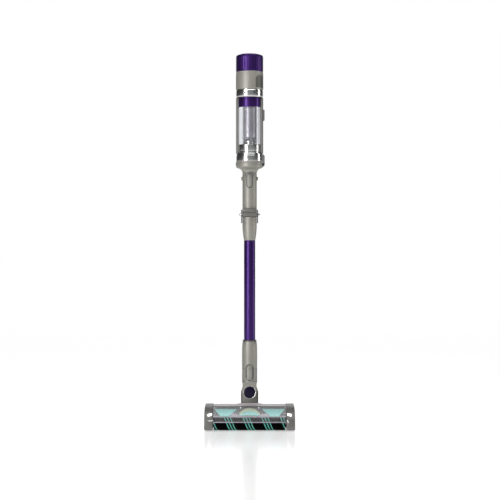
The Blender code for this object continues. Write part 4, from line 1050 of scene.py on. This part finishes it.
def make_bellows():
    """The ribbed hose through the joint: a bellows, which on the real wand opens out when it folds. Here
    it is one fixed piece on no body.
    """
    low, high = COLLAR_TOP - 0.022, RING_TOP + 0.016
    folds = 17
    pitch = (high - low) / folds
    outer, inner = [], []
    for i in range(folds):
        z = low + i * pitch
        outer += [
            (HOSE_RADIUS - 0.0012, z), (HOSE_RADIUS, z + pitch * 0.35), (HOSE_RADIUS, z + pitch * 0.6),
        ]
        inner += [(HOSE_RADIUS - 0.0022, z), (HOSE_RADIUS - 0.001, z + pitch * 0.45)]
    outer.append((HOSE_RADIUS - 0.0012, high))
    inner.append((HOSE_RADIUS - 0.0022, high))
    mesh = lathe("bellows", outer + inner[::-1], steps=64, edge=0)
    hose = piece("flex_bellows", mesh, "black_rubber", None, "flex_hose")
    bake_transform(hose)


# Lower wand


def make_lower_wand():
    """The purple tube and the grey collar over it, which opens out to the joint's width."""
    tube = lathe("tube", rectangle(0.01565, WAND_RADIUS, 0.19, WAND_TOP - GAP), edge=0.0003)
    piece("wand_tube_shell", tube, "purple_gloss", "lower_wand", "wand_tube")
    r = UPPER_RADIUS
    spigot = 0.01535
    taper = curve((r, WAND_TOP + 0.04), (r - 0.0002, WAND_TOP + 0.026), (0.0176, WAND_TOP + 0.0016), 14)
    profile = [
        (0.016, COLLAR_TOP), (r - 0.0005, COLLAR_TOP), (r, COLLAR_TOP - 0.0008), (r, COLLAR_TOP - 0.006),
        (r - 0.0004, COLLAR_TOP - 0.0064), (r - 0.0004, COLLAR_TOP - 0.0069), (r, COLLAR_TOP - 0.0073),
        *taper, (0.0171, WAND_TOP + 0.0002), (spigot, WAND_TOP), (spigot, WAND_TOP - 0.025),
        (spigot - 0.0015, WAND_TOP - 0.025), (spigot - 0.0015, WAND_TOP + 0.02),
        (0.016, COLLAR_TOP - 0.03),
    ]
    collar = lathe("collar", profile, edge=0.0002)
    centre = (0, COLLAR_TOP - 0.016)
    well = button_well((0.014, 0.022), centre, r, 0.005)
    collar = carve(collar, turned_about_z(well, pi))
    piece("lower_collar_shell", collar, "warm_grey", "lower_wand", "lower_collar")
    face = extrude("face", finely(oval(0.0128, 0.0208, centre, 12), 2), -0.0008, 0.0012, "Y", 0.0006, 3)
    heights = [COLLAR_TOP - down for down in (0.0195, 0.0165, 0.0135)]
    ribs = cross_ribs(0.004, 0.0009, -0.0011, -0.0006, heights)
    button = turned_about_z(wrapped(merge("flex_button_all", [face, *ribs]), r), pi)
    piece("flex_button_cap", button, "dark_grey", "flex_button", "flex_button")


# Neck


def make_neck():
    """The neck's sleeve with its dark rim, and a long release button in a dark oval."""
    r = NECK_RADIUS
    low = SEAM_Z + GAP
    rim = 0.0196
    top = SLEEVE_TOP
    flare = curve((r, top - 0.03), (r - 0.0002, top - 0.012), (rim + 0.0004, top - 0.0002), 10)
    profile = [
        (0.0176, low), (r - 0.0004, low), (r, low + 0.0006), *flare, (rim - 0.0006, top), (0.0176, top),
    ]
    sleeve = lathe("sleeve", profile, edge=0.0002)
    centre = (0, 0.1645)
    well = button_well((0.0176, 0.0442), centre, r, 0.0053)
    sleeve = carve(sleeve, well)
    piece("sleeve_shell", sleeve, "warm_grey", "neck", "neck_sleeve")
    u_low = top - 0.03
    profile = [
        (rim - 0.0012, top - 0.004), (rim + 0.0014, top - 0.0044), (rim + 0.0012, top - 0.0004),
        (rim + 0.0002, top), (rim - 0.0012, top),
    ]
    u_rim = lathe("u_rim", profile, edge=0.0002)
    side = 0.0195
    scoop = curve((-side, top - 0.003), (0, u_low - 0.0105), (side, top - 0.003), 24)
    scoop = [(x, -0.0004 + 0.0019 * abs(x) / side, z) for x, z in scoop]
    bead = wrapped_tube("scoop", scoop, 0.0008, rim + 0.0014)
    piece("sleeve_rim", merge("sleeve_dark", [u_rim, bead]), "dark_grey", "neck")
    bezel_centre, bezel_size = (0, 0.1655), (0.0262, 0.052)
    dark = oval_band("bezel", bezel_centre, bezel_size, (0.019, 0.0452), r)
    profile = rectangle(r - 0.0004, r + 0.0002, SEAM_Z - 0.0002, SEAM_Z + 0.0007)
    seam = lathe("seam", profile, edge=0)
    seam = carve(seam, button_well(bezel_size, bezel_centre, r, 0.01))
    piece("oval_bezel", merge("bezel_all", [dark, seam]), "print_dark", "neck", slot="dark_grey")
    face = extrude("face", finely(oval(0.0162, 0.0428, centre, 16), 2), -0.001, 0.0008, "Y", 0.0006, 3)
    ribs = cross_ribs(0.0046, 0.001, -0.0016, -0.0009, (0.1735, 0.1762, 0.1789))
    button = wrapped(merge("neck_button_all", [face, *ribs]), r)
    piece("neck_button_cap", button, "warm_grey", "neck_button", "neck_button")


# Floor head


ROLL_AXIS = (0, ROLL_Y, ROLL_Z)
PRINT_DEPTH = 0.0024  # of the coloured prints under the window's face
PRINT_THICKNESS = 0.0005
DOME_LOW = 0.048
WING_LOW = 0.045
WING_HIGH = 0.064
WING_IN = 0.0375
WING_OUT = 0.1045


def slope_point(share, inward):
    """A point of the window's curved face, share of the way down from the deck, moved inward."""
    a = Vector((WINDOW_TOP_Y, DECK_Z))
    b = Vector((HEAD_FRONT + 0.017, DECK_Z))
    c = Vector((HEAD_FRONT + 0.0045, WINDOW_LIP_Z))
    point = a * (1 - share) ** 2 + b * (2 * share * (1 - share)) + c * share ** 2
    along = ((b - a) * (1 - share) + (c - b) * share).normalized()
    inner = Vector((-along.y, along.x))
    if inner.y > 0:
        inner = -inner
    return point + inner * inward


def share_at(z):
    """How far down the window's slope its face stands at height z."""
    low, high = 0.0, 1.0
    for _ in range(30):
        middle = (low + high) / 2
        low, high = (middle, high) if slope_point(middle, 0).y > z else (low, middle)
    return (low + high) / 2


def sheet(name, top, bottom, inward, thick, columns, rows=14):
    """A sheet under the window between two height lines, each a function of x that gives z."""
    verts, faces = [], []
    for layer in (0, 1):
        for x in columns:
            first, last = share_at(top(x)), share_at(bottom(x))
            for j in range(rows + 1):
                y, z = slope_point(first + (last - first) * j / rows, inward + layer * thick)
                verts.append((x, y, z))
    wide, half = rows + 1, len(columns) * (rows + 1)
    for i in range(len(columns) - 1):
        for j in range(rows):
            quad = [i * wide + j, (i + 1) * wide + j, (i + 1) * wide + j + 1, i * wide + j + 1]
            faces += [quad, [half + v for v in quad[::-1]]]
    for i in range(len(columns) - 1):
        for j in (0, rows):
            faces.append(
                [i * wide + j, (i + 1) * wide + j, half + (i + 1) * wide + j, half + i * wide + j]
            )
    for j in range(rows):
        for i in (0, len(columns) - 1):
            faces.append([i * wide + j, i * wide + j + 1, half + i * wide + j + 1, half + i * wide + j])
    return mesh_of(name, verts, faces)


def evenly(low, high, count):
    return [low + (high - low) * i / count for i in range(count + 1)]


def level(height):
    """A line at one height, as sheet takes it."""
    return lambda x: height


def make_window():
    """The clear window over the roll, with its bright front lip and dark top line."""
    half = CAP_INNER_X - GAP
    top, bottom = level(DECK_Z - 0.00002), level(WINDOW_LIP_Z + 0.0002)
    pane = sheet("pane", top, bottom, 0.0, 0.0016, evenly(-half, half, 4), 40)
    piece("window_pane", pane, "window", "head", "front_window", "clear_smoke")
    y, z = slope_point(1.0, 0.0)
    lip = block("lip", (-half, y + 0.0004, z - 0.0002), (half, y + 0.0042, z + 0.0026), 0.0007, 3)
    seam = block("seam", (-half, -0.0531, DECK_Z - 0.0016), (half, -0.0512, DECK_Z + 0.0001), 0)
    piece("window_top_seam", seam, "ink", "head", slot="dark_grey")
    piece("window_lip", lip, "shroud_grey", "head", slot="clear_smoke")


def make_prints():
    """The printed teal panels under the window: a dome in the middle and a wing on each side."""
    half = CAP_INNER_X - 2 * GAP
    columns = evenly(-half, half, 8)
    base = sheet("under", level(DECK_Z - 0.0009), level(0.0425), 0.0034, 0.0006, columns, 20)
    piece("print_base", base, "lilac_grey", "head", "light_panel", "teal_panel")

    def dark_low(x):
        off = abs(abs(x) - 0.052) / 0.052
        return 0.048 + 0.007 * max(0.0, 1 - off * 1.6)

    columns = evenly(-half, half, 60)
    dark = sheet("dark", level(DECK_Z - 0.0012), dark_low, 0.0029, 0.0004, columns)
    piece("print_shade", dark, "print_dark", "head", slot="teal_panel")

    def dome_top(x):
        return 0.0662 - 0.0125 * abs(x / 0.0315) ** 2.4

    def dome_middle(x):
        return max(dome_top(x) - 0.0068, DOME_LOW + 0.0002)

    columns = evenly(-0.0305, 0.0305, 30)
    dome = sheet("dome", dome_middle, level(DOME_LOW), PRINT_DEPTH, PRINT_THICKNESS, columns)
    piece("dome_print", dome, "teal_panel", "head")
    glow = sheet("glow", dome_top, dome_middle, PRINT_DEPTH, PRINT_THICKNESS, columns)
    piece("dome_glow", glow, "lamp_glow", "head", slot="teal_panel")
    for side, name in SIDES:
        columns = evenly(*across(side, WING_IN, WING_OUT), 34)
        wing = sheet("wing", level(0.0643), wing_low, PRINT_DEPTH, PRINT_THICKNESS, columns)
        piece(f"{name}_print", wing, "teal_panel", "head")


def wing_low(x):
    """The lower line of a side print: two sloping ends and a level middle."""
    out, tall = abs(x), 0.019
    if out > 0.086:
        return min(WING_HIGH - (WING_OUT - out) * tall / 0.0185, WING_HIGH)
    if out < 0.0636:
        return min(WING_HIGH - (out - WING_IN) * tall / 0.0261, WING_HIGH)
    return WING_LOW


def make_cover():
    """The head's back cover, with a low arched hood in front of the neck."""
    half = CAP_INNER_X - GAP
    rear = HEAD_REAR
    slope = curve((0.012, DECK_Z), (rear, 0.058), (rear, 0.046), 12)
    outline = [(WINDOW_TOP_Y + GAP, DECK_Z), *slope, (rear - 0.0024, 0.046)]
    inner = curve((rear - 0.0024, 0.0465), (rear - 0.002, 0.057), (0.012, DECK_Z - 0.0024), 12)
    outline += inner + [(WINDOW_TOP_Y + GAP, DECK_Z - 0.0024)]
    cover = extrude("cover", outline, -half, half, "X", 0.0004, 2)
    crest = DECK_Z + 0.0043
    crown = curve((-0.0438, DECK_Z - 0.0008), (-0.033, crest), (-0.02, crest + 0.0006), 8)
    crown += curve((-0.02, crest + 0.0006), (0, crest + 0.0016), (0.02, crest + 0.0006), 10)[1:]
    crown += curve((0.02, crest + 0.0006), (0.033, crest), (0.0438, DECK_Z - 0.0008), 8)[1:]
    hood = extrude("hood", crown, -0.0118, 0.0028, "Y", 0.001, 3)
    recess = block("recess", (-0.0295, -0.0115 + 0.003, 0.02), (0.0295, 0.1, 0.1), 0.002, 3)
    cover = carve(cover, recess)
    hood = carve(hood, recess)
    groove = block("groove", (-half - 0.01, -0.05, DECK_Z - 0.0005), (half + 0.01, -0.0491, 0.1), 0)
    cover = carve(cover, groove)
    piece(
        "deck_cover", merge("cover_all", [cover, hood]), "deck_grey", "head", "head_cover", "warm_grey",
    )


def make_roll():
    """The soft roller: a fuzzy black pile, with groups of teal lines running round it as a screw."""
    half = ROLL_HALF
    count, rows = 96, 150
    verts, faces, marks = [], [], []
    for i in range(rows + 1):
        x = -half + 2 * half * i / rows
        end = min(1.0, min(x + half, half - x) / 0.0022)
        for k in range(count):
            around = 2 * pi * k / count
            tuft = 0.00035 * sin(53 * around + 900 * x) * sin(31 * around - 1400 * x)
            radius = (ROLL_RADIUS - 0.0008 + tuft) * (0.94 + 0.06 * end)
            verts.append((x, ROLL_Y + radius * cos(around), ROLL_Z + radius * sin(around)))
    for i in range(rows):
        x = -half + 2 * half * (i + 0.5) / rows
        for k in range(count):
            nxt = (k + 1) % count
            faces.append([i * count + k, i * count + nxt, (i + 1) * count + nxt, (i + 1) * count + k])
            marks.append(1 if on_stripe(x, 2 * pi * (k + 0.5) / count) else 0)
    centre = len(verts)
    verts += [(-half, ROLL_Y, ROLL_Z), (half, ROLL_Y, ROLL_Z)]
    for k in range(count):
        nxt = (k + 1) % count
        faces += [[centre, k, nxt], [centre + 1, rows * count + nxt, rows * count + k]]
        marks += [0, 0]
    stub = HEAD_HALF - 0.0056
    shafts = []
    for side in (-1, 1):
        low, high = across(side, half - 0.001, stub)
        profile = [
            (0, low), (0.0055, low), (0.006, low + 0.0005),
            (0.006, high - 0.0005), (0.0055, high), (0, high),
        ]
        shafts.append(lathe("shaft", profile, ROLL_AXIS, "X", 32, 0))
    roll = mesh_of("roll", verts, faces, marks)
    merged = merge("roll_all", [roll, *shafts], [None, 2, 2])
    piece("roller_pile", merged, ["brush_black", "teal_pile", "steel"], "brush_roll", "brush_roll")


STRIPE_PITCH = 0.0555  # from one bristle group to the next, along the roller
STRIPE_LINES = (0.34, 0.5, 0.66)  # the middle of each line of a group, as a share of the pitch
STRIPE_HALF = 0.027  # half the width of a line, as a share of the pitch


def on_stripe(x, around):
    """Whether a place on the roller lies on one of the three thin lines of a bristle group."""
    phase = ((x + 0.0082 - (around - 2.63) * STRIPE_PITCH / (2 * pi)) / STRIPE_PITCH + 0.5) % 1.0
    return any(abs(phase - line) < STRIPE_HALF for line in STRIPE_LINES)


def side_face():
    """The head's side seen from the left, as (y, z), inside the CAD outline."""
    brow = DECK_Z + 0.0012
    front = curve(
        (WINDOW_TOP_Y, brow), (HEAD_FRONT + 0.018, DECK_Z - 0.0002), (HEAD_FRONT + 0.0003, 0.03), 16,
    )
    foot = [(HEAD_FRONT + 0.0003, 0.0092), (HEAD_FRONT + 0.0053, 0.0033), (HEAD_REAR - 0.0062, 0.0033)]
    back = curve((HEAD_REAR - 0.0003, 0.03), (HEAD_REAR - 0.0003, 0.0488), (HEAD_REAR - 0.04, brow), 12)
    return front + foot + back


def make_side(side, name):
    """A side module: a grooved grey shell, a wedge headlight, and an inlay in its front."""
    inner, outer = CAP_INNER_X + 0.0001, HEAD_HALF - 0.0002
    low, high = across(side, inner, outer)
    shell = extrude("side", side_face(), low, high, "X", 0.0026, 4)
    cutters = []
    a, b = across(side, inner - 0.01, outer - 0.0045)
    cutters.append(lathe("bore", rectangle(0, 0.0068, a, b), ROLL_AXIS, "X", 32, 0))
    wedge = [
        (side * 0.1116, 0.0466), (side * 0.1246, 0.044),
        (side * 0.1246, 0.0506), (side * 0.1116, 0.0525),
    ]
    lamp_seat = extrude("lamp_seat", wedge, HEAD_FRONT - 0.01, HEAD_FRONT + 0.0215, "Y", 0)
    cutters.append(lamp_seat)
    cutters.append(
        block("parting", (-0.2, HEAD_FRONT - 0.01, 0.0395), (0.2, HEAD_FRONT + 0.0022, 0.0403), 0)
    )
    if side < 0:
        corner = (-CAP_INNER_X - 0.01, ROLL_Y - 0.018, ROLL_Z - 0.016)
        cutters.append(block("belt_room", corner, (0, -0.01, 0.048), 0))
    shell = carve(shell, *cutters)
    piece(f"{name}_side_shell", shell, "side_grey", "head", f"{name}_side_cap", "dark_grey")
    wedge = [(x - side * GAP * (1 if abs(x) > 0.12 else -1), z) for x, z in wedge]
    lens = extrude("lens", wedge, HEAD_FRONT + 0.001, HEAD_FRONT + 0.02, "Y", 0.0003, 2)
    face = extrude("face", side_face(), low - 0.01, high + 0.01, "X", 0)
    lens = combined(lens, face, "INTERSECT")
    piece(f"{name}_headlight_lens", lens, "lamp_white", "head", f"{name}_headlight")
    low = HEAD_FRONT + 0.0001
    if side < 0:
        outline = oval(0.006, 0.015, (0, 0), 10)
        inlay = extrude("inlay", outline, low, HEAD_FRONT + 0.003, "Y", 0.0004, 2)
        inlay.transform(Matrix.Translation((-0.115, 0, 0.0335)) @ Matrix.Rotation(radians(84), 4, "Y"))
        piece("left_cap_oval", inlay, "silver_trim", "head", slot="dark_grey")
    else:
        outline = [
            (0.11, 0.035), (0.1128, 0.0352), (0.1168, 0.0285),
            (0.1166, 0.0262), (0.114, 0.026), (0.1098, 0.0325),
        ]
        lever = extrude("lever", outline, low, HEAD_FRONT + 0.004, "Y", 0.0005, 2)
        piece("right_cap_lever", lever, "pearl", "head", slot="dark_grey")


# Yoke and swivel


YOKE_FRONT = 0.006
YOKE_BACK = 0.03
DUCT_HALF = 0.014


def make_yoke():
    """The yoke: a grey arm with a dark bar down each side, on a dark drum that turns for the pitch."""
    half = 0.0246
    outline = arc((0, SWIVEL_Z), half, 0, pi, 40) + [(-half, PITCH_Z + 0.002), (half, PITCH_Z + 0.002)]
    arm = extrude("arm", outline, YOKE_FRONT + 0.0002, YOKE_BACK - 0.0002, "Y", 0.0012, 3)
    low, high = (-DUCT_HALF, YOKE_FRONT + 0.0035, PITCH_Z - 0.008), (DUCT_HALF, YOKE_BACK - 0.0035, 0.3)
    duct = block("duct", low, high, 0.002, 3)
    grooves = [
        block("groove", (-0.018, -0.1, z), (0.018, YOKE_FRONT + 0.0009, z + 0.0009), 0)
        for z in (0.079, 0.076)
    ]
    piece("yoke_arm", carve(arm, duct, *grooves), "warm_grey", "yoke", slot="dark_grey")
    bars = []
    for side in (-1, 1):
        low, high = across(side, 0.0216, 0.0262)
        outline = [
            (YOKE_FRONT + 0.0001, 0.06), (YOKE_FRONT + 0.0001, 0.102), (YOKE_FRONT + 0.004, 0.107),
            (YOKE_BACK - 0.004, 0.107), (YOKE_BACK - 0.0006, 0.103), (YOKE_BACK - 0.0006, 0.06),
        ]
        bars.append(extrude("bar", outline, low, high, "X", 0.001, 3))
    profile = mirrored([
        (0, 0.0385), (0.005, 0.0385), (0.0055, 0.038), (0.0055, 0.0265),
        (0.0178, 0.0265), (0.0189, 0.0255), (0.0189, 0.012), (0.0184, 0.0114),
    ])
    drum = lathe("drum", profile, (0, PITCH_Y, PITCH_Z), "X", 64, 0.0002)
    low, high = (-DUCT_HALF, 0.0, PITCH_Z - 0.0145), (DUCT_HALF, YOKE_BACK - 0.0035, PITCH_Z + 0.03)
    drum = carve(drum, block("mouth", low, high, 0.002, 3))
    piece("yoke_drum", merge("yoke_dark", [drum, *bars]), "dark_grey", "yoke", "yoke")


def make_swivel():
    """The dark disc on the swivel, domed and set in a bright turned bezel."""
    r = SWIVEL_CAP_RADIUS
    at = (0, -NECK_RADIUS - GAP, SWIVEL_Z)
    profile = [
        (0, 0.0046), (r * 0.6, 0.0043), (r - 0.0024, 0.0034), (r - 0.0009, 0.0018), (r - 0.0009, 0),
        (0, 0),
    ]
    disc = lathe("disc", profile, at, "Y", 80, 0.0004)
    piece("swivel_disc", disc, "dark_purple", "neck", "swivel_cap")
    profile = [
        (r - 0.0008, 0.0022), (r + 0.0002, 0.0026), (r + 0.001, 0.0012), (r + 0.001, 0), (r - 0.0008, 0),
    ]
    bezel = lathe("bezel", profile, at, "Y", 80, 0.0002)
    piece("swivel_bezel", bezel, "silver_trim", "neck")


# Wheels


def make_wheel(side, name):
    """A wheel: a grooved rubber tread on a hub with a dished face."""
    half = 0.006
    at = (side * 0.08, 0.038, 0.0115)
    tread = []
    for z in (-half + 0.0006, -0.003, 0.0, 0.003, half - 0.0006):
        tread += [(0.0114, z - 0.0009), (0.0114, z + 0.0009), (0.0109, z + 0.0012)]
    face = [(0.0098, half), (0.008, half - 0.0012), (0.004, half - 0.0004), (0.0029, half)]
    mesh = lathe("wheel", tread[:-1] + mirrored(face), at, "X", 48, 0)
    wheel = f"{name}_wheel"
    piece(f"{wheel}_tyre", mesh, "black_rubber", wheel, wheel)


# Handle and battery


def handle_rim():
    """The outside of the handle seen from the side, as (y, z)."""
    front, deck, rear = BODY_RADIUS + 0.0005, HANDLE_DECK_Z, HANDLE_REAR
    foot = deck - 0.149
    return (
        [(front, foot + 0.002), (front, deck - 0.003), (front + 0.003, deck)]
        + curve((rear - 0.026, deck), (rear, deck - 0.001), (rear, deck - 0.03), 12)
        + curve((rear, deck - 0.075), (rear, foot + 0.014), (rear - 0.004, foot), 10)
        + [(front + 0.002, foot)]
    )


def finger_gap():
    """The finger gap through the handle, as (y, z)."""
    r = 0.012
    front, rear = BODY_RADIUS + 0.013 + r, HANDLE_REAR - 0.0315 - r
    low, high = HANDLE_DECK_Z - 0.129 + r, HANDLE_DECK_Z - 0.034 - r
    corners = ((rear, high), (front, high), (front, low), (rear, low))
    made = []
    for quarter, centre in enumerate(corners):
        made += arc(centre, r, quarter * pi / 2, (quarter + 1) * pi / 2, 10)
    return made


def make_handle():
    """Two handle shells that meet on a seam, with a soft grip on each and seats for the buttons."""
    half = HANDLE_HALF_WIDTH - 0.0001
    low, high = HANDLE_DECK_Z - 0.008, HANDLE_DECK_Z + 0.02
    seats = [
        lathe("seat", rectangle(0, r + 0.0006, low, high), (0, y, 0), "Z", 40, 0)
        for y, r in ((0.092, 0.0065), (0.077, 0.0048))
    ]
    for side, name in SIDES:
        body = extrude("handle", handle_rim(), -half, half, "X", 0.0042, 5)
        body = carve(body, extrude("gap", finger_gap(), -0.1, 0.1, "X", 0))
        low, high = across(side, 0.00025, -0.1)
        groove_low, groove_high = across(side, half - 0.0007, 0.1)
        groove = extrude("groove", [(0.0995, 0.958), (0.1165, 0.964), (0.1165, 1.03), (0.0995, 1.036)],
                         groove_low, groove_high, "X", 0)
        body = carve(body, block("other_half", (low, -0.2, 0.8), (high, 0.3, 1.2), 0), *seats, groove)
        piece(f"handle_{name}_moulded", body, "warm_grey", "hand_vacuum", f"handle_{name}_shell")
        low, high = across(side, half - 0.0012, half - 0.0002)
        outline = [(0.1, 0.9585), (0.116, 0.9645), (0.116, 1.0295), (0.1, 1.0355)]
        pad = extrude("pad", outline, low, high, "X", 0.0004, 2)
        low, high = across(side, half - 0.0004, half)
        ribs = []
        for z in evenly(0.965, 1.025, 8):
            outline = [(0.1015, z), (0.1148, z + 0.003), (0.1148, z + 0.0042), (0.1015, z + 0.0012)]
            ribs.append(extrude("rib", outline, low, high, "X", 0))
        piece(f"grip_pad_{name}", merge("grip", [pad, *ribs]), "black_rubber", "hand_vacuum")


def make_display():
    """The small display on the handle's top, with plain lit marks: a ring of ticks and three bars."""
    z = HANDLE_DECK_Z + GAP
    panel = block("panel", (-0.011, 0.0456, z), (0.011, 0.0689, z + 0.0018), 0.0006, 3)
    piece("display_glass", panel, "dark_purple", "hand_vacuum", "display_panel")
    marks = []
    for i in range(24):
        turn = 2 * pi * i / 24
        x, y = 0.0072 * cos(turn), 0.0562 + 0.0072 * sin(turn)
        tick = block("tick", (-0.0003, 0.0, 0.0), (0.0003, 0.0012, 0.0001), 0)
        tick.transform(Matrix.Translation((x, y, z + 0.00175)) @ Matrix.Rotation(turn - pi / 2, 4, "Z"))
        marks.append(tick)
    for i in (-1, 0, 1):
        x, tall = i * 0.0024, 0.0012 + 0.001 * (i + 1)
        corner = (x + 0.0008, 0.0548 + tall, z + 0.00185)
        marks.append(block("bar", (x - 0.0008, 0.0548, z + 0.00175), corner, 0))
    piece("display_marks", merge("marks", marks), "display_lit", "hand_vacuum", slot="dark_purple")


def make_battery():
    """The slide-in battery: a ribbed dark case with a release button in its back."""
    low, high = (-0.0194, 0.0641, 0.8416), (0.0194, 0.1239, 0.9294)
    case = block("case", low, high, 0.0032, 4)
    window = block("window", (-0.008, 0.119, 0.9092), (0.008, 0.2, 0.9218), 0.001, 2)
    grooves = [
        block("groove", (left, 0.07, z), (right, 0.1175, z + 0.0018), 0)
        for left, right in ((-0.1, -0.0188), (0.0188, 0.1))
        for z in evenly(0.852, 0.898, 6)
    ]
    well = block("well", (-0.0174, 0.0661, 0.8436), (0.0174, 0.1219, 0.95), 0.001, 2)
    case = carve(case, window, well, *grooves)
    piece("battery_shell", case, "dark_grey", "battery", "battery_case")
    button = block("press", (-0.0074, 0.1216, 0.9097), (0.0074, 0.1247, 0.9213), 0.0007, 3)
    ribs = [
        block("rib", (-0.005, 0.1244, z), (0.005, 0.1249, z + 0.0008), 0)
        for z in (0.913, 0.9155, 0.918)
    ]
    pressed = merge("press_all", [button, *ribs])
    piece("battery_button_cap", pressed, "purple_gloss", "battery_button", "battery_button")


# What stays as the CAD made it


def paint_carried():
    """Every CAD node still shown gets its slot's finish and softened edges."""
    slots = {row["node"]: row["material_slot"] for row in frame["record"]["subparts"]}
    for name, obj in frame["nodes"].items():
        if obj.hide_render:
            continue
        paint = PAINT[slots[name]]
        obj.data.materials.clear()
        obj.data.materials.append(paint)
        for polygon in obj.data.polygons:
            polygon.material_index = 0
        smooth(obj, 40)


# Stage, light and camera


def softbox(name, place, aim, width, height, power, colour=(1, 1, 1)):
    light = bpy.data.lights.new(name, "AREA")
    light.shape = "RECTANGLE"
    light.size = width
    light.size_y = height
    light.energy = power
    light.color = colour
    obj = shown(name, light)
    obj.location = place
    obj.rotation_euler = (Vector(aim) - Vector(place)).to_track_quat("-Z", "Y").to_euler()
    return obj


FLOOR_REACH = 60


def make_floor():
    """A pale floor with a faint gloss."""
    made, tree, shader, place = blank("pale_floor")
    sockets(shader, Roughness=0.16, Specular_IOR_Level=0.35, Emission_Strength=0.38)
    shader.inputs["Emission Color"].default_value = (1, 1, 1, 1)
    tone = ramp(tree, noise(tree, place, 3, 2), [(0.3, (0.9, 0.9, 0.9)), (0.7, (0.92, 0.92, 0.92))])
    link(tree, tone, shader.inputs["Base Color"])
    corners = rectangle(-FLOOR_REACH, FLOOR_REACH, -FLOOR_REACH, FLOOR_REACH)
    mesh = mesh_of("floor", [(x, y, 0) for x, y in corners], [(0, 1, 2, 3)])
    floor = shown("floor", mesh)
    floor.data.materials.append(made)


def make_world():
    """A studio: white behind the object and dark at its sides, so that round things keep dark edges."""
    world = bpy.data.worlds.new("studio")
    bpy.context.scene.world = world
    world.use_nodes = True
    tree = world.node_tree
    background = tree.nodes["Background"]
    place = tree.nodes.new("ShaderNodeTexCoord")
    split = tree.nodes.new("ShaderNodeSeparateXYZ")
    link(tree, place.outputs["Generated"], split.inputs["Vector"])
    tone = ramp(
        tree,
        spread(tree, split.outputs["Y"], -1, 1, "From"),
        [(0.0, (0.24, 0.25, 0.26)), (0.3, (0.03, 0.03, 0.03)), (0.9, (0.05, 0.05, 0.05)),
         (0.976, (1.0, 1.0, 1.0)), (1.0, (1.0, 1.0, 1.0))],
    )
    link(tree, tone, background.inputs["Color"])
    background.inputs["Strength"].default_value = 1.0


def make_lights():
    """A tall key light on the left, a narrow edge light on the right and a soft one above."""
    softbox("key", (-1.25, -1.8, 0.75), (0, 0, 0.6), 0.55, 2.0, 34)
    softbox("edge", (1.9, -0.1, 0.8), (0, 0, 0.6), 0.35, 1.9, 10)
    softbox("top", (0, -0.4, 2.4), (0, 0, 0.5), 1.6, 1.2, 22)


def make_camera():
    """Straight at the front, level with the middle, from far enough for the photo's flat view."""
    data = bpy.data.cameras.new("camera")
    data.lens = 96.8
    data.sensor_width = 36
    camera = shown("camera", data)
    camera.location = (0.0012, -4.1, 0.5376)
    camera.rotation_euler = (radians(90), 0, 0)
    bpy.context.scene.camera = camera


make_cap()
make_housing()
make_band()
make_frame()
make_cup()
make_rings()
make_lower_ring()
make_inlet_base()
make_upper_wand()
make_flex()
make_lower_wand()
make_neck()
make_window()
make_prints()
make_cover()
make_roll()
make_side(-1, "left")
make_side(1, "right")
make_yoke()
make_swivel()
make_wheel(-1, "left")
make_wheel(1, "right")
make_handle()
make_display()
make_battery()
paint_carried()
make_floor()
make_world()
make_lights()
make_camera()
bpy.context.scene.view_settings.view_transform = "Standard"
